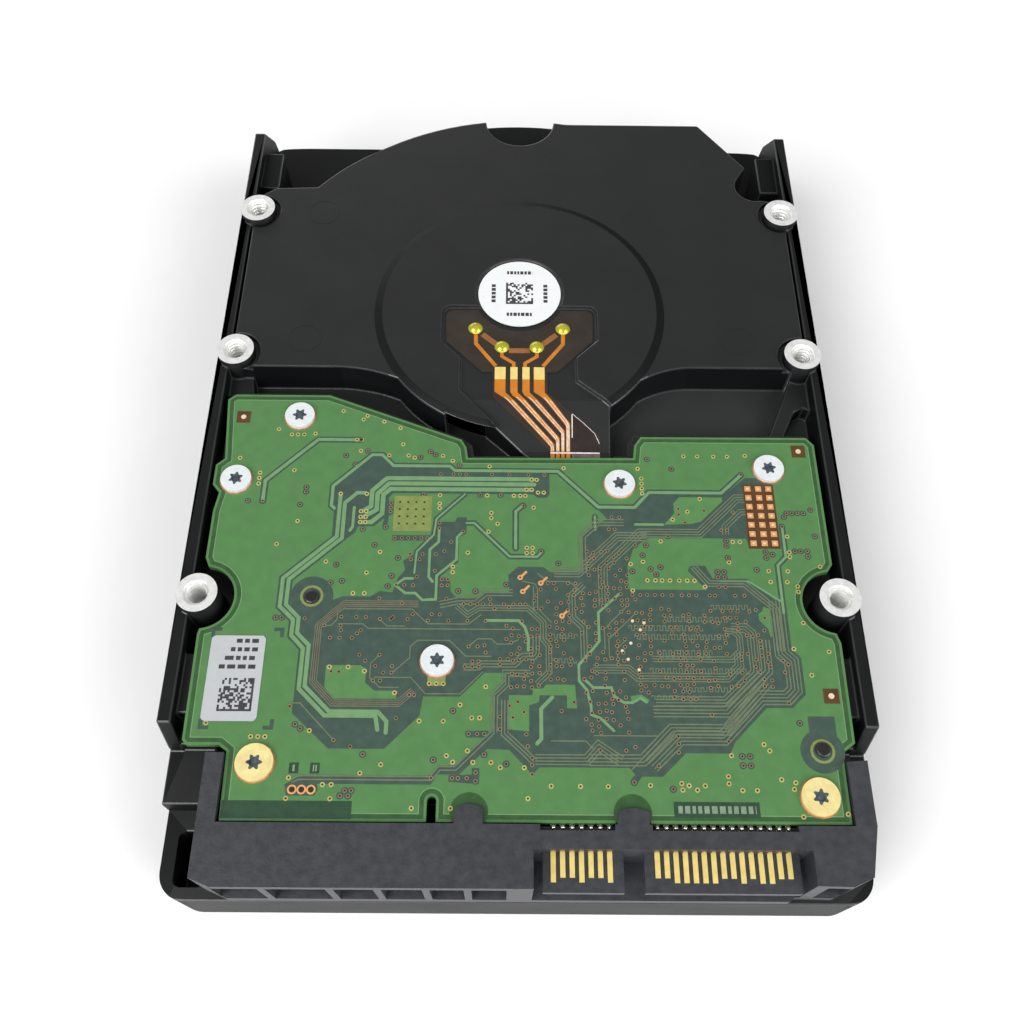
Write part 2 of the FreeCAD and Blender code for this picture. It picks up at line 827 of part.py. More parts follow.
def inner_cover():
    """Lid of the chamber, its gasket, and the two screws that hold it to the shafts."""
    margin = 1.1
    body = new_body("inner_cover")
    pad(body, "lid", "dims.inner_cover_level", "dims.inner_cover_thickness",
        [chamber_outline(margin)])
    pocket(body, "lid_holes", "dims.inner_cover_level + dims.inner_cover_thickness",
           "dims.inner_cover_thickness", [],
           [(SPINDLE, "dims.shaft_screw_radius + 0.1"), (PIVOT, "dims.shaft_screw_radius + 0.1")])
    keep(body, "inner_cover")
    head_low = dim("cover_thickness") + 0.05
    head_high = dim("inner_cover_level")
    pieces = []
    for place in (SPINDLE, PIVOT):
        head = post(place, dim("shaft_screw_head_radius"), head_low, head_high - head_low)
        shank = post(place, dim("shaft_screw_radius"), head_high,
                     dim("shaft_screw_bore_depth"))
        pieces.append(head.fuse(shank))
    solid_group("shaft_screws", pieces)
    plate("cover_gasket", "dims.inner_cover_level + dims.inner_cover_thickness",
          "dims.gasket_thickness", [chamber_outline(margin), chamber_outline(0.1)])


# ---------------------------------------------------------------- board and connector

def tab_notch(x0, x1, reach):
    return rectangle(x0, -65.5, x1, reach)


def circuit_board():
    body = new_body("circuit_board")
    pad(body, "laminate", "dims.board_support_level", "dims.board_thickness",
        [board_outline()])
    top = "dims.board_support_level + dims.board_thickness"
    pocket(body, "screw_holes", top, "dims.board_thickness", [],
           [(place, "dims.board_hole_radius") for place in WHITE_SCREWS + GOLD_SCREWS])
    pocket(body, "pin_holes", top, "dims.board_thickness", [],
           [(place, "dims.pin_hole_radius") for place in LOCATING_PINS])
    slot = [(-12.45, -65.5), (-11.15, -65.5), (-11.15, -62.0), ((-11.8, -61.35), (-12.45, -62.0))]
    pocket(body, "edge_notches", top, "dims.board_thickness",
           [tab_notch(-8.9, -4.5, -62.2), tab_notch(13.1, 17.9, -62.6), slot])
    keep(body, "circuit_board")


def screws(label, places, head_radius):
    """Pan-head Torx screws through the board into the posts."""
    top = dim("board_support_level") + dim("board_thickness")
    pieces = []
    for place in places:
        head = post(place, head_radius, top, dim("screw_head_height"))
        socket = post(place, dim("socket_radius"), top + dim("socket_floor"),
                      dim("screw_head_height"))
        shank = post(place, dim("screw_shank_radius"), top - dim("screw_shank_length"),
                     dim("screw_shank_length"))
        pieces.append(head.fuse(shank).cut(socket))
    solid_group(label, pieces)


def board_underside():
    """Chips and small parts that hang under the board, over the casting's floor."""
    sizes = {
        "controller_chip": (14.0, -44.0, 17.0, 17.0),
        "memory_chip": (-6.0, -30.0, 11.0, 8.0),
        "motor_driver_chip": (-27.0, -48.0, 9.0, 9.0),
        "flash_chip": (-26.0, -26.0, 6.0, 5.0),
    }
    for label, (x, y, length, width) in sizes.items():
        chip = doc.addObject("Part::Box", label)
        chip.setExpression("Height", "dims.chip_height")
        chip.Length = length
        chip.Width = width
        chip.Placement.Base = Vector(x, y, 0)
        chip.setExpression("Placement.Base.z", "dims.board_support_level - dims.chip_height")
        keep(chip, label)
    parts = []
    for column in range(5):
        for line in range(2):
            x = -18.0 + 5.0 * column
            y = -54.0 + 3.0 * line
            parts.append(rectangle(x, y, x + 2.0, y + 1.2))
    plate("board_capacitors", "dims.board_support_level - dims.capacitor_height",
          "dims.capacitor_height", parts)
    coils = [rounded_rectangle(-38.0 + 6.0 * n, -50.5, -33.5 + 6.0 * n, -46.0, 0.8)
             for n in range(2)]
    plate("board_inductors", "dims.board_support_level - dims.inductor_height",
          "dims.inductor_height", coils)


def foam_pad():
    """Insulating foam between casting and board, showing as a fringe along the rear edge."""
    rear_edge = board_outline(0.9)[:10]
    front_edge = [(46.6, -12.4), (20.0, -12.4), (20.0, -16.0), (-40.0, -16.0),
                  (-47.0, -16.0), (-47.6, -8.6)]
    body = new_body("insulating_foam")
    level = "dims.board_support_level - dims.foam_thickness"
    pad(body, "foam_sheet", level, "dims.foam_thickness", [rear_edge + front_edge])
    clear = [(place, "dims.post_radius + 0.3") for place in WHITE_SCREWS[:4]]
    pocket(body, "foam_post_holes", "dims.board_support_level", "dims.foam_thickness", [],
           clear)
    pocket(body, "foam_windows", "dims.board_support_level", "dims.foam_thickness",
           [rectangle(1.2, -14.2, 15.3, -1.0)])
    keep(body, "insulating_foam")


def contact_x(first, number):
    return first + dim("contact_pitch") * number


def contact_paths(first, count):
    """Slots in the housing's back wall, one for each contact."""
    half = dim("contact_width") / 2
    return [rectangle(contact_x(first, n) - half, -68.4, contact_x(first, n) + half, -64.9)
            for n in range(count)]


def connector_housing():
    body = new_body("connector_housing")
    height = "dims.housing_top - dims.housing_bottom"
    pad(body, "housing_block", "dims.housing_bottom", height, [housing_outline()])
    left_arm = rectangle(-43.2, -65.2, -40.65, -55.7)
    right_arm = [(45.35, -65.2), (48.2, -65.2), (48.2, -56.2), (45.35, -56.4)]
    tabs = [
        [(-8.6, -65.2), (-4.8, -65.2), (-4.8, -63.2), ((-6.7, -62.5), (-8.6, -63.2))],
        [(13.4, -65.2), (17.6, -65.2), (17.6, -63.5), ((15.5, -62.9), (13.4, -63.5))],
    ]
    pad(body, "arms_and_tabs", "dims.arm_bottom", "dims.housing_top - dims.arm_bottom",
        [left_arm, right_arm] + tabs)
    top = "dims.housing_top + 0.1"
    opening = rectangle(2.0, -73.9, 39.2, -68.3)
    pocket(body, "contact_opening", top, "dims.housing_top + 0.1 - dims.contact_level",
           [opening])
    pocket(body, "plug_cavity", "dims.tongue_bottom", "dims.plug_cavity_height", [opening])
    gaps = [rectangle(2.0, -73.9, 3.3, -68.3), rectangle(14.2, -73.9, 17.0, -68.3),
            rectangle(38.0, -73.9, 39.2, -68.3)]
    pocket(body, "tongue_gaps", "dims.contact_level", "dims.tongue_gap_depth", gaps)
    tails = [rectangle(2.9, -65.9, 13.0, -64.8), rectangle(18.0, -65.9, 37.6, -64.8)]
    pocket(body, "tail_recess", top, "dims.tail_recess_depth", tails)
    slots = contact_paths(FIRST_SIGNAL_X, SIGNAL_CONTACTS)
    slots += contact_paths(FIRST_POWER_X, POWER_CONTACTS)
    pocket(body, "contact_slots", "dims.tail_level + 0.2",
           "dims.tail_level + 0.2 - dims.contact_level", slots)
    ribs = (-41.5, -33.9, -24.9, -18.6, -12.2, -6.7, -1.0)
    windows = [rectangle(a + 0.5, -73.9, b - 0.5, -69.4) for a, b in zip(ribs, ribs[1:])]
    windows.append(rectangle(41.0, -73.9, 45.0, -69.8))
    pocket(body, "front_windows", "dims.window_level", "dims.window_depth", windows)
    keep(body, "connector_housing")


def contacts(label, first, count, long_ones):
    """Stamped contacts: a blade on the tongue, a riser in the wall and a tail to the board."""
    low = dim("contact_level")
    thick = dim("contact_thickness")
    high = dim("tail_level")
    pieces = []
    for n in range(count):
        tip = -72.1 if n + 1 in long_ones else -71.5
        profile = [(tip, low), (-67.2, low), (-67.2, high - thick), (-64.85, high - thick),
                   (-64.85, high), (-67.4, high), (-67.4, low + thick), (tip, low + thick)]
        blade = prism(profile, 0.0, dim("contact_width") - 0.1)
        blade.Placement = Placement(
            Vector(contact_x(first, n) - dim("contact_width") / 2 + 0.05, 0, 0),
            Rotation(Vector(1, 1, 1), 120))
        pieces.append(blade)
    solid_group(label, pieces)


def labels():
    top = "dims.board_support_level + dims.board_thickness"
    plate("board_label", top, "dims.board_label_thickness",
          [rounded_rectangle(-44.8, -51.1, -36.9, -38.3, 0.7)])
    body = new_body("motor_label")
    pad(body, "label_disc", "dims.disc_level - dims.label_pocket_depth",
        "dims.motor_label_thickness", [],
        [((0.0, dim("label_y")), "dims.label_pocket_radius - dims.label_gap")])
    keep(body, "motor_label")


def motor_cable():
    """Flat cable from the motor terminals down the bridge and under the board's edge."""
    thick = dim("cable_thickness")
    high = dim("disc_level") - dim("flex_channel_depth")
    low = dim("bridge_low_level")
    rear = 22.0
    tail = -12.0
    strip = [(rear, high), (SLOPE_TOP_Y, high), (SLOPE_FOOT_Y, low), (tail, low),
             (tail, low + thick), (SLOPE_FOOT_Y, low + thick), (SLOPE_TOP_Y, high + thick),
             (rear, high + thick)]
    sheet = new_body("cable_sheet")
    pad(sheet, "cable_strip", *CHANNEL_SPAN, [strip], role="YZ_Plane")
    shape = new_body("cable_shape")
    pad(shape, "cable_plan", *CHANNEL_RISE, [cable_outline()])
    cable = doc.addObject("Part::Common", "motor_flex")
    cable.Base = sheet
    cable.Tool = shape
    keep(cable, "motor_flex")


SOLDER_JOINTS = ((-7.5, 17.6), (-2.95, 13.7), (2.95, 13.7), (7.4, 17.6))


def solder_domes():
    """Four domes of solder on the motor terminals."""
    base = dim("disc_level") - dim("flex_channel_depth") + dim("cable_thickness")
    radius = 1.45
    sink = 0.75
    domes = []
    for place in SOLDER_JOINTS:
        ball = Part.makeSphere(radius, Vector(place[0], place[1], base - sink))
        domes.append(ball.common(post(place, radius, base, radius)))
    solid_group("motor_solder_joints", domes)


# ---------------------------------------------------------------- spindle motor and disks

def platter_level(index):
    return dim("platter_first_level") + index * (dim("platter_thickness") + dim("platter_gap"))


def bored_shaft(radius, bottom, top):
    """Profile of a fixed shaft with a threaded bore for the cover screw in its lower end."""
    bore = dim("shaft_screw_radius")
    depth = bottom + dim("shaft_screw_bore_depth")
    return [(bore, bottom), (radius, bottom), (radius, top), (0.0, top), (0.0, depth),
            (bore, depth)]


def spindle_shaft():
    profile = bored_shaft(dim("shaft_radius"), dim("shaft_bottom"), dim("shaft_top"))
    turned("spindle_shaft", profile, "spindle")


def stator():
    """Laminated core of nine teeth pressed on the boss, with one winding on each tooth."""
    body = new_body("stator_core")
    pad(body, "core_ring", "dims.stator_bottom", "dims.stator_thickness", [],
        [((0.0, 0.0), "dims.stator_boss_radius"), ((0.0, 0.0), "dims.stator_boss_radius + 1.2")])
    tip = dim("stator_tip_radius")
    neck = 0.9
    head = [(7.0, -neck), (tip - 1.2, -neck), around((0, 0), tip - 1.2, -16),
            around((0, 0), tip, -16), ((tip, 0.0), around((0, 0), tip, 16)),
            around((0, 0), tip - 1.2, 16), (tip - 1.2, neck), (7.0, neck)]
    tooth = pad(body, "core_tooth", "dims.stator_bottom", "dims.stator_thickness", [head])
    ring = body.newObject("PartDesign::PolarPattern", "core_teeth")
    ring.Originals = [tooth]
    ring.Axis = (tooth.Profile[0], ["N_Axis"])
    ring.Angle = 360.0
    ring.Occurrences = STATOR_TEETH
    body.Tip = ring
    place_on(body, "spindle")
    keep(body, "stator_core")

    low = dim("stator_bottom") - 0.55
    tall = dim("stator_thickness") + 1.1
    coil = Part.makeBox(3.4, 3.0, tall, Vector(8.0, -1.5, low))
    coil = coil.makeFillet(0.5, [edge for edge in coil.Edges if edge.Length < 3.5])
    hole = Part.makeBox(4.0, 2 * neck, dim("stator_thickness"),
                        Vector(7.8, -neck, dim("stator_bottom")))
    coil = coil.cut(hole)
    centre = Vector(SPINDLE[0], SPINDLE[1], 0)
    windings = []
    for n in range(STATOR_TEETH):
        piece = coil.copy()
        piece.rotate(Vector(0, 0, 0), Vector(0, 0, 1), 360.0 * n / STATOR_TEETH)
        piece.translate(centre)
        windings.append(piece)
    solid_group("stator_windings", windings)


CLAMP_ANGLES = tuple(30 + 60 * n for n in range(6))


def clamp_screw_places():
    return [around(SPINDLE, dim("clamp_screw_circle"), angle) for angle in CLAMP_ANGLES]


def spindle_hub():
    """Turned hub: sleeve on the shaft, drum for the disks, flange and motor skirt."""
    bore = dim("shaft_radius") + dim("running_clearance")
    flange_low = platter_level(PLATTER_COUNT - 1) + dim("platter_thickness")
    flange_high = flange_low + dim("flange_thickness")
    bottom = dim("hub_bottom")
    profile = [
        (bore, bottom),
        (dim("hub_radius"), bottom),
        (dim("hub_radius"), flange_low),
        (dim("skirt_radius"), flange_low),
        (dim("skirt_radius"), dim("skirt_top")),
        (dim("skirt_inner_radius"), dim("skirt_top")),
        (dim("skirt_inner_radius"), flange_high),
        (dim("sleeve_radius"), flange_high),
        (dim("sleeve_radius"), dim("skirt_top")),
        (bore, dim("skirt_top")),
    ]
    body = new_body("spindle_hub")
    revolve(body, "hub_turning", profile)
    holes = [(around((0, 0), dim("clamp_screw_circle"), angle), "dims.clamp_screw_bore_radius")
             for angle in CLAMP_ANGLES]
    pocket(body, "clamp_screw_holes", "dims.hub_bottom", "dims.clamp_screw_bore_depth", [],
           holes, along=True)
    place_on(body, "spindle")
    keep(body, "spindle_hub")
    inner = dim("magnet_inner_radius")
    outer = dim("skirt_inner_radius")
    low = dim("rotor_magnet_bottom")
    high = dim("rotor_magnet_top")
    turned("rotor_magnet", [(inner, low), (outer, low), (outer, high), (inner, high)], "spindle")


def platters():
    for index in range(PLATTER_COUNT):
        label = "platter_%d" % (index + 1)
        body = new_body(label)
        pad(body, label + "_disk", "%s" % platter_level(index), "dims.platter_thickness", [],
            [((0.0, 0.0), "dims.platter_radius"), ((0.0, 0.0), "dims.platter_bore_radius")])
        place_on(body, "spindle")
        keep(body, label)
    rings = []
    for index in range(PLATTER_COUNT - 1):
        level = platter_level(index) + dim("platter_thickness")
        ring = post(SPINDLE, dim("spacer_radius"), level, dim("platter_gap"))
        rings.append(ring.cut(post(SPINDLE, dim("platter_bore_radius"), level, 5.0)))
    solid_group("disk_spacers", rings)


def disk_clamp():
    body = new_body("disk_clamp")
    low = dim("clamp_bottom")
    seat = dim("platter_first_level")
    bore = dim("clamp_bore_radius")
    rim = dim("clamp_rim_radius")
    high = dim("hub_bottom")
    profile = [(bore, low), (dim("clamp_radius"), low), (dim("clamp_radius"), seat),
               (rim, seat), (rim, high), (bore, high)]
    revolve(body, "clamp_turning", profile)
    holes = [(around((0, 0), dim("clamp_screw_circle"), angle), "dims.clamp_screw_bore_radius")
             for angle in CLAMP_ANGLES]
    sinks = [(centre, "dims.clamp_sink_radius") for centre, _ in holes]
    pocket(body, "clamp_holes", "dims.hub_bottom", "1", [], holes)
    pocket(body, "clamp_sinks", "dims.clamp_bottom", "dims.clamp_head_height", [], sinks,
           along=True)
    place_on(body, "spindle")
    keep(body, "disk_clamp")
    tall = dim("clamp_head_height")
    pieces = []
    for place in clamp_screw_places():
        head = post(place, dim("clamp_head_radius"), low, tall)
        shank = post(place, dim("clamp_screw_radius"), low + tall, dim("clamp_screw_length"))
        socket = post(place, 0.6, low, tall / 2)
        pieces.append(head.fuse(shank).cut(socket))
    solid_group("clamp_screws", pieces)


# ---------------------------------------------------------------- actuator

def arm_middle(index):
    """Height of the middle of an arm, halfway between two disks."""
    pitch = dim("platter_thickness") + dim("platter_gap")
    return dim("platter_first_level") - dim("platter_gap") / 2 + index * pitch


def arm_outline():
    """Tapered arm with a lightening hole, pointing along the parking direction."""
    park = dim("park_angle")
    reach = dim("arm_tip_reach")
    return [around(PIVOT, 6.5, park - 75), around(PIVOT, reach, park - 4.2),
            around(PIVOT, reach, park + 4.2), around(PIVOT, 6.5, park + 75)]


def head_block():
    """Actuator block: a bored drum with one thin arm in each gap of the disk stack."""
    body = new_body("actuator_block")
    pad(body, "block_drum", "dims.block_bottom", "dims.block_top - dims.block_bottom", [],
        [(PIVOT, "dims.block_radius")])
    for index in range(ARM_COUNT):
        low = arm_middle(index) - dim("arm_thickness") / 2
        pad(body, "arm_%d" % (index + 1), "%s" % low, "dims.arm_thickness", [arm_outline()])
    hole_middle = around(PIVOT, 20.0, dim("park_angle"))
    pocket(body, "lightening_holes", "dims.block_top + 1", "dims.block_top + 1", [],
           [(hole_middle, "2.6"), (PIVOT, "dims.cartridge_radius")])
    keep(body, "actuator_block")


def pivot():
    """Fixed pivot shaft and the bearing cartridge that turns on it."""
    bottom = dim("inner_cover_level") + dim("inner_cover_thickness")
    profile = bored_shaft(dim("pivot_shaft_radius"), bottom, dim("chamber_roof"))
    turned("pivot_shaft", profile, "pivot")
    bore = dim("pivot_shaft_radius") + dim("running_clearance")
    turned("pivot_cartridge", [
        (bore, dim("block_bottom")), (dim("cartridge_radius"), dim("block_bottom")),
        (dim("cartridge_radius"), dim("block_top")), (bore, dim("block_top"))], "pivot")


def coil_angles(half):
    """Directions of the coil's two sides, opposite to the arms."""
    middle = dim("park_angle") + 180.0
    return middle - half, middle + half


def voice_coil():
    """Flat wound coil held in a moulded frame behind the pivot."""
    start, end = coil_angles(dim("coil_half_angle") - 3.0)
    outer = sector(PIVOT, dim("coil_inner_reach"), dim("coil_outer_reach"), start, end)
    inner_start, inner_end = coil_angles(dim("coil_half_angle") - 10.5)
    window = sector(PIVOT, dim("coil_inner_reach") + 3.2, dim("coil_outer_reach") - 3.2,
                    inner_start, inner_end)
    plate("voice_coil", "dims.coil_bottom", "dims.coil_thickness", [outer, window])
    start, end = coil_angles(dim("coil_half_angle"))
    frame = sector(PIVOT, dim("block_radius") - 0.3, dim("coil_frame_reach"), start, end)
    body = new_body("coil_frame")
    pad(body, "frame_plate", "dims.coil_bottom", "dims.coil_thickness", [frame])
    pocket(body, "frame_window", "dims.coil_bottom + dims.coil_thickness",
           "dims.coil_thickness", [outer])
    pocket(body, "drum_seat", "dims.coil_bottom + dims.coil_thickness",
           "dims.coil_thickness", [], [(PIVOT, "dims.block_radius")])
    keep(body, "coil_frame")


def facing_sides(index):
    """An inner arm carries a head for the disk on each side, an end arm carries one."""
    sides = []
    if index > 0:
        sides.append(-1)
    if index < ARM_COUNT - 1:
        sides.append(1)
    return sides


def suspensions_and_heads():
    thick = dim("suspension_thickness")
    offset = 0.1
    park = dim("park_angle")
    reach = dim("arm_tip_reach")
    head = dim("head_reach")
    length = dim("slider_length")
    width = dim("slider_width")
    tall = dim("slider_height")
    blade = [around(PIVOT, reach, park - 4.0), around(PIVOT, head - 1, park - 0.9),
             around(PIVOT, head + 2.2, park - 0.35), around(PIVOT, head + 2.2, park + 0.35),
             around(PIVOT, head - 1, park + 0.9), around(PIVOT, reach, park + 4.0)]
    blades = []
    sliders = []
    for index in range(ARM_COUNT):
        for side in facing_sides(index):
            near = arm_middle(index) + side * offset
            low = near if side > 0 else near - thick
            blades.append(prism(blade, low, thick))
            slider = Part.makeBox(length, width, tall, Vector(head - length / 2, -width / 2, 0))
            slider.rotate(Vector(0, 0, 0), Vector(0, 0, 1), park)
            slider_low = near + thick if side > 0 else near - thick - tall
            slider.translate(Vector(PIVOT[0], PIVOT[1], slider_low))
            sliders.append(slider)
    solid_group("head_suspensions", blades)
    solid_group("head_sliders", sliders)


def voice_coil_motor():
    """Two steel yokes with a magnet on each, spaced by posts, and the two crash stops."""
    plate("lower_yoke", "dims.lower_yoke_level", "dims.yoke_thickness", [yoke_outline()])
    plate("upper_yoke", "dims.upper_yoke_level", "dims.yoke_thickness", [yoke_outline()])
    magnet = sector(PIVOT, 11.0, 25.0, 287.0, 357.0)
    plate("lower_magnet", "dims.lower_yoke_level + dims.yoke_thickness",
          "dims.voice_magnet_thickness", [magnet])
    plate("upper_magnet", "dims.upper_yoke_level - dims.voice_magnet_thickness",
          "dims.voice_magnet_thickness", [magnet])
    low = dim("lower_yoke_level") + dim("yoke_thickness")
    tall = dim("upper_yoke_level") - low
    solid_group("yoke_posts", [post(place, dim("yoke_post_radius"), low, tall)
                               for place in ((42.0, -55.5), (10.3, -55.3), (43.3, -30.0))])
    solid_group("crash_stops", [post(around(PIVOT, 13.5, turn), dim("crash_stop_radius"),
                                     low, tall)
                                for turn in (8.5, 277.0)])


def latch():
    """Small inertial latch on a pin beside the parked coil."""
    pin = (dim("latch_x"), dim("latch_y"))
    body = new_body("latch_pin")
    pad(body, "latch_pin_post", "dims.inner_cover_level + dims.inner_cover_thickness",
        "dims.chamber_roof - dims.inner_cover_level - dims.inner_cover_thickness", [],
        [(pin, "dims.latch_pin_radius")])
    keep(body, "latch_pin")
    body = new_body("latch_lever")
    pad(body, "lever_eye", "dims.latch_bottom", "dims.latch_height", [],
        [(pin, "dims.latch_eye_radius")])
    lever = [(41.4, -23.6), (37.2, -24.2), (35.6, -26.6), (36.4, -27.0), (37.9, -25.6),
             (41.5, -25.4)]
    pad(body, "lever_arm", "dims.latch_bottom", "dims.latch_height", [lever])
    pocket(body, "lever_bore", "dims.latch_bottom + dims.latch_height", "dims.latch_height", [],
           [(pin, "dims.latch_pin_radius + dims.running_clearance")])
    keep(body, "latch_lever")


# ---------------------------------------------------------------- other inner parts

def head_cable():
    """Feed-through block under the board's pads, its bracket and the looped head cable."""
    body = new_body("head_connector")
    pad(body, "connector_plug", "dims.chamber_roof - 1.2",
        "dims.board_support_level - dims.chamber_roof + 1.2", [rectangle(35.4, -23.1, 40.4, -13.1)])
    keep(body, "head_connector")
    plate("cable_bracket", "dims.bracket_bottom", "dims.bracket_height",
          [rectangle(36.2, -22.9, 40.0, -13.3)])
    width = dim("head_ribbon_thickness")
    path = [(21.5, -28.0), (25.0, -20.5), (30.5, -16.0), (36.2, -16.2)]
    outer = [(x, y + width) for x, y in path]
    ribbon = [path[0], path[1], path[2], path[3], outer[3], outer[2], outer[1], outer[0]]
    plate("actuator_flex", "dims.head_ribbon_bottom", "dims.head_ribbon_height", [ribbon])


def ramp_filter_desiccant():
    """Parking ramp at the disk edge, air filter and drying pack in the front corner."""
    body = new_body("parking_ramp")
    spine = [(-42.6, -24.5), (-38.2, -24.5), (-38.6, -14.5), (-42.6, -14.5)]
    pad(body, "ramp_spine", "dims.ramp_bottom", "dims.ramp_height", [spine])
    for index in range(PLATTER_COUNT):
        finger = [(-38.7, -23.0), (-35.6, -23.0), (-34.4, -19.9), (-38.7, -15.3)]
        pad(body, "ramp_finger_%d" % (index + 1), "%s" % platter_level(index),
            "dims.platter_thickness", [finger])
    keep(body, "parking_ramp")
    plate("breather_filter", "dims.filter_bottom", "dims.filter_height",
          [rounded_rectangle(-42.5, -44.0, -38.5, -29.0, 0.8)])
    plate("desiccant_pack", "dims.filter_bottom", "dims.desiccant_height",
          [rounded_rectangle(-36.0, -57.5, -10.0, -46.0, 1.5)])


# ---------------------------------------------------------------- assembly

base_casting()
outer_cover()
inner_cover()
circuit_board()
screws("white_board_screws", WHITE_SCREWS, dim("white_head_radius"))
screws("gold_board_screws", GOLD_SCREWS, dim("gold_head_radius"))
board_underside()
foam_pad()
connector_housing()
contacts("signal_contacts", FIRST_SIGNAL_X, SIGNAL_CONTACTS, LONG_SIGNAL_CONTACTS)
contacts("power_contacts", FIRST_POWER_X, POWER_CONTACTS, LONG_POWER_CONTACTS)
labels()
motor_cable()
solder_domes()
spindle_shaft()
stator()
spindle_hub()
platters()
disk_clamp()
head_block()
pivot()
voice_coil()
suspensions_and_heads()
voice_coil_motor()
latch()
head_cable()
ramp_filter_desiccant()
doc.recompute()


# ---------------------------------------------------------------- checks and export

def check_document():
    for thing in doc.Objects:
        if "Invalid" in thing.State or "Error" in thing.State:
            raise RuntimeError("%s did not compute: %s" % (thing.Name, thing.State))
    for before, after in cuts:
        if after.Shape.Volume >= before.Shape.Volume - 1e-6:
            raise RuntimeError("%s cuts nothing" % after.Name)
    for node in nodes:
        if node.Shape.isNull() or not node.Shape.isValid():
            raise RuntimeError("%s has no valid shape" % node.Label)


check_document()
os.makedirs("parts", exist_ok=True)
for node in nodes:
    node.Shape.exportStep("parts/%s.step" % node.Label)
    print(node.Label, len(node.Shape.Solids), round(node.Shape.Volume, 1))
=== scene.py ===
import math
import random

import bmesh
import bpy
from mathutils import Euler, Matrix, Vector
from mathutils.bvhtree import BVHTree
from mathutils.geometry import tessellate_polygon


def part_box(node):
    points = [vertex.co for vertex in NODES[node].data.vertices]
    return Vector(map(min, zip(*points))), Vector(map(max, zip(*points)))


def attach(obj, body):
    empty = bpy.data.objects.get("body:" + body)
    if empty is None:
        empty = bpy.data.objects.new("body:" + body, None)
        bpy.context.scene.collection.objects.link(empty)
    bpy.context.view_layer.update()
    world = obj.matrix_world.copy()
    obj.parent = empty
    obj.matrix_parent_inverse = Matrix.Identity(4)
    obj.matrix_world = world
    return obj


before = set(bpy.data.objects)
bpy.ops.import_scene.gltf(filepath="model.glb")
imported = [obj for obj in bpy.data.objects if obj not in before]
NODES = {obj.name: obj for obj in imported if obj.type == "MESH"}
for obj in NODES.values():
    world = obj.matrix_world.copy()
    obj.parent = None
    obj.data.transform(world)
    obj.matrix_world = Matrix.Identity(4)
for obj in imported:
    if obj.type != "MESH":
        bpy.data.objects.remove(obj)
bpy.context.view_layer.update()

MM = 0.001

BODY = "drive_body"


# ---------------------------------------------------------------- places on the drive, in mm

def top_of(node):
    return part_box(node)[1].z / MM


def bottom_of(node):
    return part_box(node)[0].z / MM


def middle_of(node):
    low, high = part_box(node)
    return (low + high) / 2 / MM


BOARD_TOP = top_of("circuit_board")
FLEX_HIGH = bottom_of("motor_solder_joints")
SPINDLE = middle_of("platter_1")
DRIVE_TOP = top_of("base_casting")
MOUNT_X = 47.625
MOUNT_Y = (-32.22, 12.23, 43.98)
HOLE_RADIUS = 1.6
WHITE_SCREWS = ((-35.8, 0.0), (-44.7, -12.0), (15.9, -12.3), (39.8, -9.3), (-11.8, -42.0))
GOLD_SCREWS = ((-36.4, -57.0), (41.2, -61.2))
FLEX_TREE = BVHTree.FromPolygons([v.co for v in NODES["motor_flex"].data.vertices],
                                 [tuple(p.vertices) for p in NODES["motor_flex"].data.polygons])


# ---------------------------------------------------------------- camera, floor and light

CAMERA_PLACE = (-1.98, -94.55, 168.54)
CAMERA_TURN = (0.49122, -0.00545, 0.00862)
LENS = 36.88
FLOOR_HALF = 3.0
FLOOR_GAP = 0.0001
LIGHTS = (
    # name, place, size, energy
    ("key_light", (-0.75, -0.65, 1.0), (1.0, 1.0), 17.0),
    ("fill_light", (0.95, -0.6, 0.85), (1.0, 0.9), 12.0),
    ("rear_light", (-0.5, 1.3, 0.35), (1.2, 0.5), 3.5),
    ("front_light", (0.0, -1.5, 0.7), (2.0, 0.25), 5.0),
)


def add_camera():
    """Camera at the photograph's place and angle."""
    data = bpy.data.cameras.new("camera")
    data.sensor_width = 36.0
    data.lens = LENS
    camera = bpy.data.objects.new("camera", data)
    bpy.context.scene.collection.objects.link(camera)
    camera.location = Vector(CAMERA_PLACE) * MM
    camera.rotation_mode = "ZYX"
    camera.rotation_euler = Euler(CAMERA_TURN, "ZYX")
    bpy.context.scene.camera = camera


def area_light(name, place, size, energy):
    """Rectangular soft light that shines at the middle of the drive."""
    data = bpy.data.lights.new(name, "AREA")
    data.shape = "RECTANGLE"
    data.size = size[0]
    data.size_y = size[1]
    data.energy = energy
    light = bpy.data.objects.new(name, data)
    bpy.context.scene.collection.objects.link(light)
    light.location = place
    light.rotation_euler = (-Vector(place)).to_track_quat("-Z", "Y").to_euler()


def add_studio():
    """Pale floor, soft lights and a pale surround."""
    world = bpy.data.worlds.new("studio")
    world.use_nodes = True
    background = world.node_tree.nodes["Background"]
    background.inputs["Color"].default_value = (1.0, 1.0, 1.0, 1.0)
    background.inputs["Strength"].default_value = 0.3
    bpy.context.scene.world = world
    bpy.context.scene.view_settings.view_transform = "Standard"
    for light in LIGHTS:
        area_light(*light)

    mesh = bpy.data.meshes.new("studio_floor")
    mesh.from_pydata([(x, y, 0.0) for x, y in square((0.0, 0.0), FLOOR_HALF)], [], [(0, 1, 2, 3)])
    floor = bpy.data.objects.new("studio_floor", mesh)
    bpy.context.scene.collection.objects.link(floor)
    floor.location.z = -FLOOR_GAP
    mesh.materials.append(surface("floor_paper", (0.93, 0.93, 0.93), 0.9,
                                  variation=0.01, scale=30.0))


# ---------------------------------------------------------------- materials

GLOSS_SPREAD = 0.12


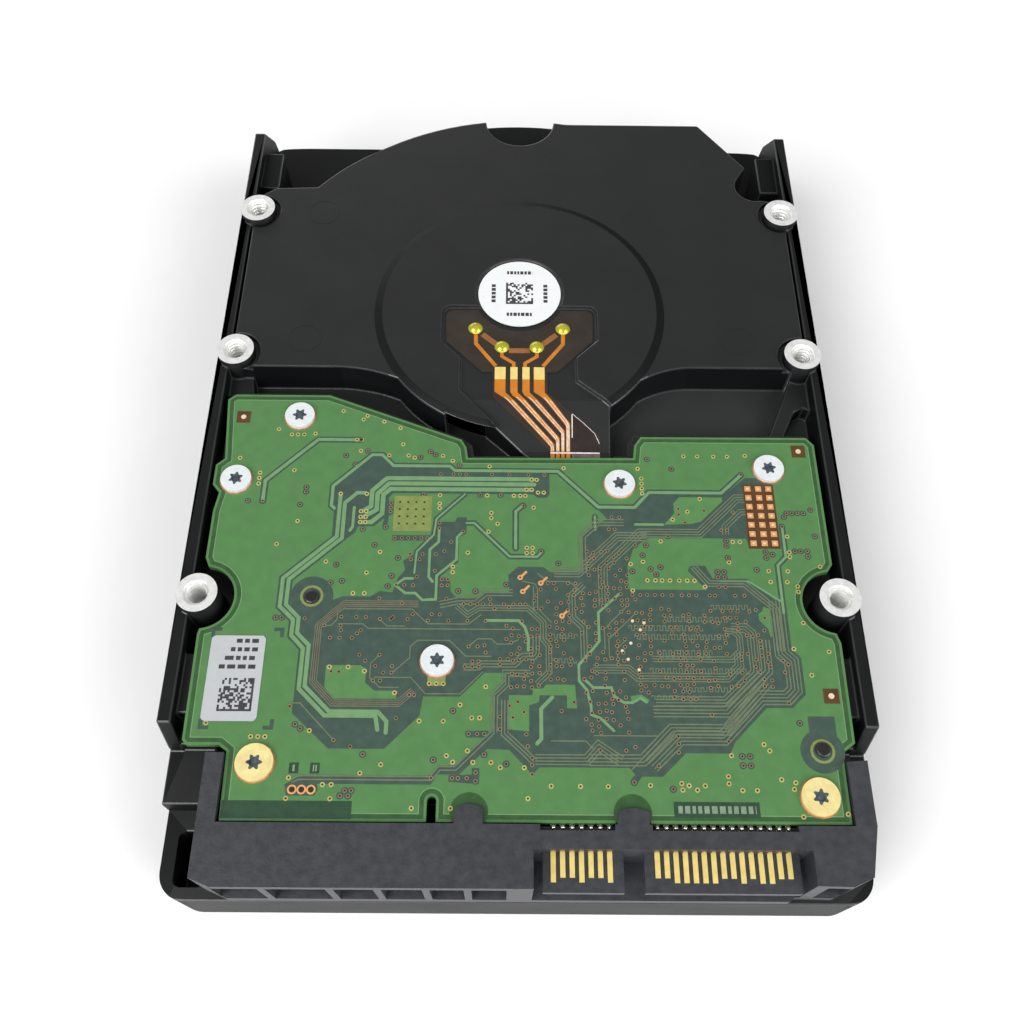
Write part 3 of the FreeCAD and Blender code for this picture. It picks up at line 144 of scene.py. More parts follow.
def surface(name, colour, roughness, metallic=0.0, variation=0.12, scale=400.0, bump=0.0,
            bump_scale=3000.0, coat=0.0, specular=0.5, stretch=(1.0, 1.0, 1.0)):
    """Procedural surface: mottled colour, uneven gloss and a fine bump, all from noise."""
    material = bpy.data.materials.new(name)
    material.use_nodes = True
    tree = material.node_tree
    shader = tree.nodes["Principled BSDF"]
    shader.inputs["Metallic"].default_value = metallic
    shader.inputs["Specular IOR Level"].default_value = specular
    shader.inputs["Coat Weight"].default_value = coat
    place = tree.nodes.new("ShaderNodeTexCoord")
    mapping = tree.nodes.new("ShaderNodeMapping")
    mapping.inputs["Scale"].default_value = stretch
    tree.links.new(place.outputs["Object"], mapping.inputs["Vector"])

    noise = tree.nodes.new("ShaderNodeTexNoise")
    noise.inputs["Scale"].default_value = scale
    noise.inputs["Detail"].default_value = 6.0
    tree.links.new(mapping.outputs["Vector"], noise.inputs["Vector"])

    ramp = tree.nodes.new("ShaderNodeValToRGB")
    darker = tuple(c * (1.0 - variation) for c in colour)
    lighter = tuple(min(1.0, c * (1.0 + variation)) for c in colour)
    ramp.color_ramp.elements[0].position = 0.3
    ramp.color_ramp.elements[0].color = (*darker, 1.0)
    ramp.color_ramp.elements[1].position = 0.7
    ramp.color_ramp.elements[1].color = (*lighter, 1.0)
    tree.links.new(noise.outputs["Fac"], ramp.inputs["Fac"])
    tree.links.new(ramp.outputs["Color"], shader.inputs["Base Color"])

    gloss = tree.nodes.new("ShaderNodeMapRange")
    gloss.inputs["To Min"].default_value = max(0.02, roughness * (1.0 - GLOSS_SPREAD))
    gloss.inputs["To Max"].default_value = min(1.0, roughness * (1.0 + GLOSS_SPREAD))
    tree.links.new(noise.outputs["Fac"], gloss.inputs["Value"])
    tree.links.new(gloss.outputs["Result"], shader.inputs["Roughness"])

    if bump:
        grain = tree.nodes.new("ShaderNodeTexNoise")
        grain.inputs["Scale"].default_value = bump_scale
        grain.inputs["Detail"].default_value = 3.0
        tree.links.new(mapping.outputs["Vector"], grain.inputs["Vector"])
        relief = tree.nodes.new("ShaderNodeBump")
        relief.inputs["Strength"].default_value = bump
        relief.inputs["Distance"].default_value = 0.0001
        tree.links.new(grain.outputs["Fac"], relief.inputs["Height"])
        tree.links.new(relief.outputs["Normal"], shader.inputs["Normal"])
    return material


def give(node, material):
    """Put one material on a whole CAD node."""
    mesh = NODES[node].data
    mesh.materials.clear()
    mesh.materials.append(material)


# ---------------------------------------------------------------- mesh helpers

def new_piece(name, verts, faces, material, smooth=False):
    """One fixed piece from points in metres and faces."""
    mesh = bpy.data.meshes.new(name)
    mesh.from_pydata(verts, [], faces)
    if smooth:
        mesh.shade_smooth()
    piece = bpy.data.objects.new(name, mesh)
    bpy.context.scene.collection.objects.link(piece)
    mesh.materials.append(material)
    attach(piece, BODY)


def slab_faces(points, low, high, verts, faces):
    """Add a flat-topped island with side walls; points go round the outline, in mm."""
    area = sum(a[0] * b[1] - b[0] * a[1] for a, b in zip(points, points[1:] + points[:1]))
    if area < 0:
        points = points[::-1]
    start = len(verts)
    count = len(points)
    for level in (high, low):
        verts.extend((x * MM, y * MM, level * MM) for x, y in points)
    flat = [[Vector((x, y, 0.0)) for x, y in points]]
    for a, b, c in tessellate_polygon(flat):
        corner = [points[i] for i in (a, b, c)]
        turn = ((corner[1][0] - corner[0][0]) * (corner[2][1] - corner[0][1])
                - (corner[1][1] - corner[0][1]) * (corner[2][0] - corner[0][0]))
        order = (a, b, c) if turn > 0 else (a, c, b)
        faces.append(tuple(start + i for i in order))
    for i in range(count):
        j = (i + 1) % count
        faces.append((start + j, start + i, start + count + i, start + count + j))


def ribbon_outline(route, width, steps=6):
    """Outline of a track of one width along a route, with mitred corners and round ends."""
    half = width / 2
    outline = []
    for side in (route, route[::-1]):
        outline += shifted(side, half)
        tip, before = side[-1], side[-2]
        heading = math.atan2(tip[1] - before[1], tip[0] - before[0])
        for n in range(1, steps):
            angle = heading + math.pi / 2 - math.pi * n / steps
            outline.append((tip[0] + half * math.cos(angle), tip[1] + half * math.sin(angle)))
    return outline


def circle(centre, radius, count=20, start=0.0):
    return [(centre[0] + radius * math.cos(start + math.tau * n / count),
             centre[1] + radius * math.sin(start + math.tau * n / count))
            for n in range(count)]


def ring_faces(centre, inner, outer, low, high, verts, faces, count=16):
    """Add a flat ring with its outer and inner walls."""
    start = len(verts)
    for radius, level in ((inner, low), (inner, high), (outer, high), (outer, low)):
        verts.extend((x * MM, y * MM, level * MM) for x, y in circle(centre, radius, count))
    for loop in range(3):
        for i in range(count):
            j = (i + 1) % count
            a, b = start + loop * count, start + (loop + 1) * count
            faces.append((a + i, b + i, b + j, a + j))


def islands(name, outlines, low, high, material):
    """One piece from many flat outlines."""
    verts, faces = [], []
    for n, points in enumerate(outlines):
        slab_faces(list(points), low, high + STAGGER * (n % STAGGER_CYCLE), verts, faces)
    new_piece(name, verts, faces, material)


def rings(name, places, inner, outer, low, high, material):
    verts, faces = [], []
    for place in places:
        ring_faces(place, inner, outer, low, high, verts, faces)
    new_piece(name, verts, faces, material)


# ---------------------------------------------------------------- circuit artwork on the board

# Each tone of the circuit is a thin raised layer: its height over the board, in mm.
BARE, POUR, LINE, RING, HOLE = 0.010, 0.028, 0.044, 0.062, 0.078
TAB_SHADOW = BARE + 0.0155
PRINT_FIELD = BARE + 0.016
WINDOW = POUR + 0.002
THIN_LINE = LINE + 0.003
BORE_FLOOR = RING - 0.004
DOT = HOLE + 0.003
# Islands of one layer differ by this much, so that none of them share a plane.
STAGGER = 0.0004
STAGGER_CYCLE = 37
# How far the layers and the rings reach into the board.
SINK = 0.02
RING_SINK = 0.01

BARE_ZONES = [
    # large dark field in the middle and right of the board
    [(-13.2, -19.2), (-9.9, -19.2), (-9.6, -18.4), (-8.1, -18.4), (-8.1, -21.2), (-9.2, -21.9),
     (-9.2, -26.1), (-11.9, -28.6), (-10.4, -28.8), (-10.2, -31.0), (-9.4, -31.9),
     (-6.2, -32.0), (-5.0, -31.0), (-1.4, -31.0), (-1.6, -28.2), (-0.1, -26.8), (3.7, -26.8),
     (4.8, -27.7), (9.7, -27.7), (9.7, -21.6), (11.5, -20.0), (13.7, -18.4), (12.4, -16.9),
     (18.2, -16.8), (20.8, -14.1), (32.2, -14.1), (35.9, -10.9), (39.0, -10.9), (40.1, -12.2),
     (40.1, -23.3), (35.4, -23.3), (35.0, -21.7), (20.0, -21.7), (17.6, -23.4), (16.5, -26.5),
     (16.5, -30.4), (28.2, -30.4), (25.6, -27.2), (26.0, -26.4), (28.3, -26.4), (29.3, -28.5),
     (34.6, -28.5), (38.4, -32.0), (39.9, -32.0), (39.9, -39.8), (41.1, -41.0), (41.1, -46.6),
     (39.0, -48.6), (35.3, -48.6), (30.3, -53.6), (29.5, -55.2), (23.3, -55.2), (19.9, -58.5),
     (17.0, -58.5), (16.1, -59.8), (15.4, -59.0), (16.1, -58.2), (15.3, -57.3), (2.9, -57.3),
     (1.9, -58.3), (-1.3, -54.9), (-4.4, -54.8), (-8.2, -58.4), (-11.2, -58.4), (-12.0, -59.8),
     (-31.6, -59.8), (-30.2, -58.7), (-12.3, -58.7), (-11.1, -57.3), (-9.0, -57.3),
     (-3.6, -52.3), (-3.4, -46.7), (-1.9, -45.0), (-1.9, -43.7), (-4.9, -43.7), (-8.4, -47.3),
     (-13.6, -47.3), (-14.0, -50.1), (-18.7, -54.9), (-26.5, -54.9), (-32.0, -49.9),
     (-32.0, -36.6), (-33.0, -35.4), (-31.0, -33.0), (-28.0, -32.6), (-26.3, -31.9),
     (-22.2, -31.9), (-20.8, -31.0), (-18.9, -31.2), (-18.2, -28.8), (-17.2, -27.5),
     (-17.6, -26.0), (-15.7, -24.6), (-13.2, -22.2)],
    # field round the three broad tracks behind the flat cable
    [(-28.8, -13.2), (-23.2, -7.6), (-22.0, -7.6), (-20.2, -9.5), (-11.2, -9.5), (-10.4, -10.4),
     (4.8, -10.4), (4.8, -14.2), (4.3, -14.8), (2.9, -14.8), (2.2, -14.2), (-19.8, -14.2),
     (-20.4, -15.0), (-20.4, -18.2), (-22.4, -20.1), (-24.9, -20.1), (-25.2, -21.2),
     (-26.4, -22.2), (-27.4, -22.8), (-28.8, -21.9)],
    [(-20.4, -15.6), (-19.6, -15.6), (-19.6, -17.8), (-20.2, -18.2), (-20.4, -19.8),
     (-21.0, -20.6), (-21.1, -19.6), (-20.7, -18.0)],
    [(-19.5, -21.6), (-13.2, -21.6), (-13.2, -22.5), (-19.5, -22.5)],
    [(40.9, -49.8), (44.7, -49.8), (44.7, -53.4), (40.9, -53.4)],
    [(-7.4, -52.3), (-4.2, -52.2), (-4.2, -53.2), (-7.3, -53.2)],
    [(-9.6, -58.5), (-6.4, -58.4), (-6.4, -57.5), (-5.4, -57.5), (-5.4, -59.7), (-9.6, -59.4)],
]

# Centre lines of single tracks that cross the pour, with the width of the copper.
OUTLINED = [
    (0.55, [(-25.6, -4.4), (-32.4, -4.4), (-40.1, -12.1), (-40.1, -15.8)]),
    (0.45, [(0.6, -16.2), (-0.5, -17.3), (-0.5, -23.7)]),
    (0.5, [(-28.8, -17.0), (-29.3, -16.5), (-29.3, -13.0), (-23.5, -7.2), (-21.9, -7.2),
           (-20.0, -9.2), (-11.0, -9.2), (-10.2, -10.0), (6.2, -10.0), (12.4, -16.4),
           (18.1, -16.4), (20.5, -13.7), (31.9, -13.7), (35.3, -10.4)]),
    (0.6, [(-28.0, -14.5), (-28.0, -21.9), (-35.5, -29.0), (-35.5, -33.6), (-33.3, -35.7),
           (-33.3, -38.2), (-31.4, -40.2), (-31.4, -46.3), (-27.4, -50.2), (-20.2, -50.2),
           (-19.8, -52.2)]),
    (0.6, [(-24.1, -14.2), (-25.4, -14.2), (-27.2, -16.0), (-27.2, -22.2), (-34.6, -29.2),
           (-34.6, -33.3), (-32.5, -35.4), (-32.5, -37.8), (-30.6, -39.7), (-30.6, -45.9),
           (-26.8, -49.6), (-19.9, -49.6), (-18.6, -51.0), (-18.6, -52.6)]),
    (0.45, [(-25.7, -16.8), (-25.7, -20.2), (-26.1, -20.9)]),
    (0.3, [(-8.5, -14.3), (-12.8, -18.7), (-13.1, -21.5), (-15.6, -24.4), (-15.8, -28.0)]),
    (0.35, [(-8.1, -19.4), (-6.9, -19.4), (-1.4, -25.1), (2.8, -25.1), (3.5, -24.3)]),
    (0.4, [(40.8, -19.5), (40.8, -24.8), (39.4, -26.2), (39.4, -34.0)]),
    (0.35, [(11.8, -18.1), (11.8, -20.4)]),
]

# Broad tracks and islands of copper inside the dark fields.
BROAD = [
    (0.72, [(2.2, -11.5), (-20.9, -11.5), (-23.1, -13.8), (-23.1, -16.6), (-24.4, -17.5)]),
    (0.72, [(2.4, -12.45), (-20.5, -12.45), (-22.2, -14.3), (-22.2, -17.2), (-24.2, -18.5)]),
    (0.72, [(2.0, -13.45), (-20.2, -13.45), (-21.3, -14.5), (-21.3, -17.9), (-22.9, -19.4),
            (-24.6, -19.4)]),
    (0.4, [(-12.3, -20.3), (-12.3, -22.7), (-13.6, -24.0), (-13.6, -28.6), (-13.0, -29.4)]),
    (0.4, [(-8.6, -20.9), (-9.5, -21.9), (-9.5, -25.7), (-12.4, -28.4), (-12.4, -32.3),
           (-14.4, -32.4), (-15.5, -31.3), (-17.0, -31.3), (-18.6, -30.0), (-17.2, -28.9),
           (-16.0, -28.9)]),
    (0.45, [(-4.9, -35.6), (0.0, -35.6), (0.9, -36.6), (1.4, -38.2), (1.4, -40.2)]),
    (0.4, [(15.0, -31.2), (11.8, -34.2), (11.8, -38.7), (10.8, -40.0), (8.7, -42.4),
           (8.7, -44.8), (9.8, -46.2), (10.3, -48.5), (10.3, -49.8), (11.6, -50.3),
           (13.4, -52.1)]),
    (0.4, [(9.7, -44.8), (10.7, -45.8), (13.3, -45.8), (13.6, -47.0), (15.0, -48.0),
           (16.2, -48.0), (17.4, -47.3), (18.2, -47.9)]),
    (0.55, [(4.8, -47.3), (3.2, -49.0), (3.2, -53.3), (2.6, -54.0)]),
    (0.4, [(18.0, -19.4), (22.3, -19.4)]),
    (0.3, [(39.3, -32.2), (34.6, -28.9), (30.4, -28.9)]),
]
COPPER_ISLANDS = [
    [(25.2, -14.5), (31.9, -14.5), (31.9, -15.2), (28.3, -18.8), (27.0, -19.2), (22.5, -19.4),
     (24.2, -17.4), (24.2, -15.6)],
    [(-27.8, -42.7), (-22.8, -42.7), (-22.0, -43.3), (-22.0, -45.3), (-20.6, -46.5),
     (-17.5, -46.5), (-17.4, -47.7), (-26.3, -47.7), (-27.8, -46.0)],
    [(-1.4, -47.0), (2.0, -47.0), (2.0, -46.0), (3.5, -46.0), (3.9, -45.4), (8.1, -45.4),
     (8.3, -48.9), (6.9, -48.9), (6.9, -47.0), (3.0, -47.0), (2.9, -48.0), (1.5, -48.5),
     (1.5, -52.3), (-1.4, -52.0)],
    [(36.4, -33.0), (37.4, -33.4), (37.4, -37.6), (37.0, -38.0), (36.8, -36.6),
     (35.6, -35.2), (35.6, -34.2), (36.2, -33.8)],
    [(-13.1, -44.2), (-10.5, -44.2), (-10.5, -45.7), (-13.1, -45.7)],
    [(16.0, -47.0), (17.5, -46.8), (18.6, -47.5), (18.6, -47.9), (17.3, -47.3), (16.1, -48.0)],
]

# Bundles of fine tracks: number of tracks, pitch, width and the route of the first one.
BUNDLES = [
    (5, 0.5, 0.2, [(19.2, -57.7), (23.0, -54.0), (29.2, -54.0), (35.0, -48.1), (38.8, -48.1),
                   (40.6, -46.3), (40.6, -41.2), (39.4, -40.0), (39.4, -32.2)]),
    (4, 0.5, 0.2, [(9.8, -57.0), (17.6, -57.0), (21.9, -52.6), (29.6, -52.6), (36.2, -45.4)]),
    (4, 0.5, 0.2, [(19.2, -50.0), (29.9, -50.0), (36.7, -43.4), (36.7, -38.4)]),
    (4, 0.45, 0.18, [(19.6, -48.4), (29.8, -48.4), (34.9, -43.6), (34.9, -37.0), (33.6, -35.8),
                     (31.4, -35.8)]),
    (4, 0.45, 0.18, [(2.4, -56.9), (9.8, -56.9), (11.3, -55.2), (13.8, -56.9)]),
    (4, 0.45, 0.18, [(35.3, -14.0), (33.8, -14.0), (27.6, -20.2), (18.4, -20.2),
                     (12.0, -26.6), (12.0, -33.0)]),
    (3, 0.45, 0.18, [(35.3, -16.6), (34.4, -16.6), (31.5, -19.5), (31.5, -21.0)]),
    (3, 0.4, 0.18, [(-9.4, -33.6), (-7.6, -35.2), (-5.8, -34.0), (1.2, -34.0), (3.2, -36.0),
                    (3.2, -38.6), (4.0, -39.6), (4.0, -43.4), (2.4, -45.0)]),
    (3, 0.45, 0.2, [(-7.9, -43.3), (-5.6, -43.3), (-5.2, -42.8), (-0.4, -42.8), (0.8, -41.6),
                    (2.4, -41.6), (3.0, -40.8), (3.0, -38.0)]),
    (3, 0.45, 0.2, [(-3.0, -52.4), (-3.0, -47.2), (-1.4, -45.6), (-1.4, -44.2), (1.6, -44.2)]),
    (3, 0.45, 0.2, [(-2.4, -47.8), (-2.4, -52.8), (0.6, -55.6), (1.8, -56.8)]),
    (3, 0.5, 0.2, [(10.2, -27.8), (10.2, -21.8), (12.4, -19.6), (16.2, -19.6)]),
    (4, 0.45, 0.2, [(5.4, -28.4), (7.4, -28.4), (9.2, -28.4), (15.4, -22.2), (19.6, -22.2)]),
    (3, 0.5, 0.2, [(-11.6, -33.6), (-9.0, -33.0), (-6.4, -33.0), (-4.8, -31.6), (-1.0, -31.6)]),
    (3, 0.45, 0.2, [(10.0, -41.4), (10.0, -36.4), (8.4, -34.8), (8.4, -31.6), (10.0, -30.0)]),
    (2, 0.5, 0.2, [(-31.0, -59.6), (-30.0, -59.2), (-11.9, -59.2), (-10.8, -57.8),
                   (-8.6, -57.8), (-3.4, -52.6)]),
    (3, 0.45, 0.2, [(26.2, -26.9), (28.4, -29.8), (33.8, -29.8), (37.8, -33.6), (37.8, -40.0)]),
    (4, 0.4, 0.17, [(10.8, -43.6), (15.6, -43.6), (17.0, -44.8), (30.4, -44.8), (32.6, -42.6),
                    (32.6, -40.4)]),
    (3, 0.4, 0.17, [(19.4, -41.8), (31.2, -41.8), (32.8, -40.2), (32.8, -37.6), (31.8, -36.6),
                    (30.4, -36.6)]),
]
BROWN_BUS = [(4, 0.3, 0.16, [(-15.0, -32.6), (-26.0, -32.6), (-29.9, -36.4), (-29.9, -45.4),
                             (-26.6, -48.8), (-17.0, -48.8), (-14.8, -46.8)])]
FINE = [
    [(-26.6, -36.3), (-22.9, -36.3), (-22.2, -37.0), (-4.0, -37.0), (0.2, -37.0)],
    [(-28.6, -36.6), (-27.6, -36.6), (-26.8, -35.6), (-26.8, -34.6), (-26.0, -33.9),
     (-15.8, -33.9), (-14.8, -34.9), (-13.4, -36.2), (-7.4, -36.2), (-5.6, -34.7)],
    [(-20.1, -41.0), (-21.4, -42.4), (-21.4, -44.6), (-19.9, -46.0), (-17.2, -46.0)],
    [(-18.2, -43.8), (-15.8, -41.5), (-15.8, -39.8), (-14.8, -38.8), (-10.1, -38.8),
     (-7.7, -41.2), (-4.0, -41.2)],
    [(-20.7, -44.5), (-15.5, -44.5), (-13.3, -46.9), (-8.4, -46.9), (-5.2, -43.6)],
    [(-32.4, -48.4), (-31.0, -48.4), (-25.9, -53.6)],
    [(-20.6, -35.5), (-19.4, -36.6), (-16.8, -36.6)],
    [(-7.3, -39.7), (-6.0, -38.5), (-4.0, -38.5), (-3.2, -39.3), (-1.6, -39.3), (0.0, -38.6)],
    [(10.6, -52.8), (19.6, -52.8), (21.2, -51.2)], [(15.6, -57.6), (19.4, -53.8)],
    [(2.8, -27.9), (4.4, -29.2), (7.6, -29.2), (9.0, -30.6)], [(2.2, -30.0), (2.2, -34.0)],
    [(0.6, -29.2), (2.4, -29.6), (2.8, -30.4), (2.8, -33.6), (4.8, -35.8)],
    [(17.2, -34.4), (13.2, -38.4), (13.2, -41.2)], [(16.4, -32.8), (12.6, -36.8), (12.6, -40.0)],
    [(15.6, -38.6), (14.4, -39.8), (14.4, -42.6)], [(4.6, -53.6), (9.4, -53.6), (10.6, -54.8)],
]
MEANDERS = [(16.2, 27.0, -36.6, 0.8), (21.6, 31.0, -35.2, 0.7), (17.0, 30.6, -38.0, 0.7),
            (20.2, 28.0, -40.6, 1.1), (19.0, 33.0, -43.2, 0.7), (23.6, 30.4, -46.0, 0.6),
            (28.6, 34.4, -33.2, 0.6), (4.8, 8.4, -38.0, 0.6), (5.0, 8.2, -41.8, 0.6),
            (19.0, 26.0, -47.2, 0.5)]

# Plated holes: one height, and the places along it.
GOLD_ROWS = [
    (1.1, (-28.8,)), (0.2, (-24.8,)), (-0.5, (-25.4,)), (-0.9, (-22.0,)), (-2.1, (-19.3,)),
    (-2.5, (-39.0,)), (-3.5, (-36.8, -35.8, -34.8)), (-3.3, (-33.0,)), (-5.2, (-18.7,)),
    (-6.5, (-25.4,)), (-7.3, (-20.8, -17.7, -12.2)), (-7.7, (-16.7,)), (-8.0, (-44.6,)),
    (-8.2, (-10.6,)), (-10.2, (-35.7,)), (-10.7, (-41.1,)), (-11.7, (-41.1,)),
    (-12.7, (-41.1,)), (-19.3, (-34.3,)), (-23.3, (-37.1,)), (-24.5, (-21.2, -7.8)),
    (-26.2, (-29.3,)), (-28.0, (-23.0,)), (-31.4, (-24.8, -23.1)), (-9.2, (-4.7,)),
    (-9.4, (7.1, 18.9)), (-17.6, (-4.3,)), (-18.5, (-4.3,)), (-19.5, (-3.3,)),
    (-20.9, (-4.7,)), (-16.6, (2.3,)), (-26.9, (-10.0,)), (-27.8, (-10.0,)),
    (-14.5, (-12.4, -5.0, -0.8, 0.2, 1.0)), (-16.0, (-12.4,)), (-16.8, (-12.4,)),
    (-23.6, (1.2, 2.1)), (-24.5, (1.2, 2.1)), (-7.0, (26.4, 28.6, 31.2, 33.4)),
    (-6.8, (36.3,)), (-11.2, (19.4,)), (-12.1, (19.4,)), (-13.0, (19.4,)), (-13.9, (19.4,)),
    (-14.8, (28.4,)), (-17.1, (26.3,)), (-18.5, (23.9,)), (-21.3, (41.4,)), (-26.4, (45.8,)),
    (-24.0, (41.4,)), (-24.8, (41.4,)), (-27.2, (40.8, 37.9)), (-29.0, (38.0, 40.5)),
    (-29.7, (42.0,)), (-30.6, (42.0, 17.1)), (-22.3, (21.8, 32.9, 34.0)), (-25.8, (18.9, 32.0)),
    (-26.2, (17.0,)), (-28.9, (19.4, 20.6, 21.6, 22.8, 24.2, 25.4, 26.5)), (-29.9, (28.0,)),
    (-35.6, (42.1,)), (-40.1, (45.3,)), (-39.7, (40.2,)), (-43.7, (42.3,)), (-53.9, (34.3,)),
    (-54.8, (35.0,)), (-58.4, (28.9,)), (-59.4, (28.9,)), (-58.8, (36.2,)), (-59.2, (38.1,)),
    (-60.1, (37.8,)), (-60.3, (30.7, 32.7, 22.5, 24.5)), (-59.7, (18.1, 23.4, 25.6)),
    (-59.4, (22.4,)), (-63.8, (38.6,)), (-63.4, (44.7,)), (-59.9, (4.5, 8.5, 12.3)),
    (-61.6, (1.3,)), (-63.0, (-14.5, -9.2)), (-56.7, (-3.8, -9.1, -6.3)), (-57.4, (-2.5, 0.8)),
    (-55.1, (-7.1,)), (-55.8, (-10.0,)), (-50.9, (-14.0, -10.6)), (-50.4, (-6.6, -5.5)),
    (-45.8, (-4.7,)), (-48.5, (-8.3,)), (-57.1, (-19.0,)), (-58.3, (-21.8,)),
    (-53.3, (-37.4, -36.4, -35.4)), (-51.4, (-43.9,)), (-52.4, (-29.3,)), (-55.2, (-34.7,)),
    (-57.1, (-34.1,)), (-59.0, (-31.5,)), (-59.9, (-26.8, -25.6)), (-61.8, (-31.6, -25.6)),
    (-11.6, (2.0, 2.8)), (-13.4, (1.2, 2.0)), (-13.9, (3.0, 3.9)),
    (-17.5, (-24.6, -23.8)), (-18.5, (-24.6, -23.8)), (-19.4, (-24.6, -23.8)),
    (-14.4, (-28.0, -23.9)), (-45.4, (-12.8, -11.8, -10.8)), (-43.0, (-27.3, -24.6)),
    (-43.6, (-22.2,)), (-46.8, (-17.7,)), (-4.4, (-26.2, -25.4)), (-55.5, (29.6,)),
]
DARK_ROWS = [
    (-7.4, (-27.7,)), (-6.5, (-24.3, -14.2)), (-9.0, (-26.1, -9.5)), (-7.6, (-15.8, 20.5)),
    (-7.1, (-13.4,)), (-15.8, (-42.4, -40.1)), (-13.3, (-33.5,)), (-14.1, (-33.5,)),
    (-16.4, (-34.2,)), (-23.3, (-22.1,)), (-26.7, (-27.7, 21.5)), (-29.4, (-26.6,)),
    (-29.7, (-28.3,)), (-30.9, (-9.1, -6.5)), (-9.4, (24.3,)), (-22.1, (31.9,)),
    (-23.0, (31.9, 19.5, 17.8)), (-25.0, (31.9, 37.8)), (-24.0, (37.8,)), (-24.4, (38.8,)),
    (-27.0, (36.1, 20.0)), (-24.7, (18.9,)), (-27.9, (20.8,)), (-21.2, (45.7,)),
    (-50.8, (39.7,)), (-55.7, (-21.6,)), (-56.4, (-11.8,)), (-55.6, (-4.8, 31.1, 32.2)),
    (-56.9, (-1.7, 31.1, 32.2)), (-35.4, (-35.9, -35.0)), (-26.2, (6.0,)), (-49.4, (-9.3,)),
    (-60.2, (21.2,)), (-25.5, (-18.4,)), (-28.5, (-19.2,)), (-30.2, (-19.7,)),
    (-17.2, (41.8, 42.6, 43.5, 44.4)), (-16.6, (45.6, 24.9)), (-17.9, (41.3,)),
    (-23.8, (42.3, 43.2, 44.2)), (-24.7, (44.2,)), (-14.4, (-15.0, -6.1, -2.9)),
    (-51.5, (-31.4,)), (-52.1, (-30.6,)), (-60.7, (-23.7, -22.8)), (-61.4, (-24.3, -23.2)),
    (-48.0, (-0.1, 7.9)), (-48.6, (-1.3,)), (-49.5, (0.8,)), (-50.3, (-0.8,)),
    (-52.7, (1.1, -7.0, -5.8, -4.8)), (-58.9, (-9.1, -8.3, -7.1)), (-58.1, (-5.9,)),
    (-59.3, (-5.9, 15.9)), (-58.9, (-12.0,)), (-29.9, (30.1, 31.1)), (-28.3, (30.1, 31.1)),
    (-27.4, (30.1, 31.1, 17.2)), (-16.9, (28.9,)), (-17.6, (24.9,)), (-19.0, (25.8,)),
    (-19.6, (40.8,)), (-21.4, (23.0,)), (-10.3, (35.3,)), (-4.4, (-25.5,)), (-20.2, (-20.6,)),
    (-20.6, (-24.1,)), (-24.2, (3.4,)), (-16.3, (0.7,)), (-29.8, (-1.9,)),
]
BROWN_ROWS = [
    (-10.7, (-12.4, -10.4, -9.4, -8.4, -4.3, -1.5, 1.5, 4.0)), (-22.1, (-19.1, -18.0, -17.0,
                                                               -16.0, -15.0, -14.1)),
    (-16.0, (-20.0,)), (-16.8, (-20.0,)), (-17.5, (-20.0,)), (-19.4, (-12.3,)),
    (-20.4, (-12.3,)), (-20.9, (-8.6,)), (-22.7, (-10.4,)), (-24.3, (-11.4,)),
    (-24.8, (-12.7, -14.7, -16.6)), (-25.7, (-15.1, -16.4)), (-27.6, (-12.7,)),
    (-28.6, (-15.4,)), (-29.0, (-11.6, -10.7)), (-30.0, (-11.6, -10.7, -15.9, -17.2, -18.4)),
    (-32.2, (-20.8, -10.8, -4.3)), (-33.0, (-17.4, -8.2, -7.2, -6.2, -5.3, -4.2, -2.2, -0.8,
                                           0.2, 1.0)),
    (-35.2, (-26.2, -24.0, -22.6, -18.6)), (-35.5, (-31.6, -20.5, -18.9, -16.4)),
    (-36.6, (-28.6, -26.2)), (-37.3, (-26.1, -23.2)), (-38.5, (-27.6, -26.2, -24.4)),
    (-34.7, (-12.9, -11.7, -15.7)), (-35.7, (-13.4, -10.4, -7.6, -4.9)), (-37.8, (-23.7,)),
    (-41.1, (-23.1, -20.2)), (-42.0, (-22.2, -6.7, -5.8)), (-42.8, (-20.7, -18.3, -6.7, -5.8,
                                                        -7.8)),
    (-43.8, (-19.5, -18.3)), (-45.0, (-20.9, -19.9)), (-47.1, (-15.6, -14.9)),
    (-48.9, (-32.4,)), (-53.7, (-25.8,)), (-50.5, (-17.3,)), (-54.6, (-23.4,)),
    (-39.7, (-7.3, -6.0)), (-39.5, (-5.0,)), (-40.6, (-4.8,)), (-41.6, (-2.7, -1.6)),
    (-42.4, (-2.7,)), (-38.5, (-1.8,)), (-36.4, (-1.8,)), (-49.7, (27.4,)),
    (-43.7, (-25.9, -27.0)), (-52.8, (22.4,)), (-53.9, (22.4,)), (-55.1, (22.3,)),
    (-53.5, (29.4,)), (-57.0, (19.4,)), (-47.9, (38.5,)), (-43.3, (38.5, 34.9)),
    (-41.5, (38.4,)), (-42.1, (39.1,)), (-58.3, (1.9,)), (-56.0, (1.9,)), (-57.0, (1.9,)),
    (-54.4, (1.3, 16.3)), (-52.0, (-2.6,)), (-50.2, (-2.6,)), (-54.9, (11.4, 15.0)),
    (-31.3, (17.0, 18.2, 19.2, 20.4, 21.5, 22.9, 24.4, 25.5, 26.6, 28.6, 29.4, 32.4, 33.8)),
    (-20.3, (31.3, 32.2, 14.8, 13.9)), (-17.1, (33.4,)), (-18.2, (14.4, 15.6)),
]
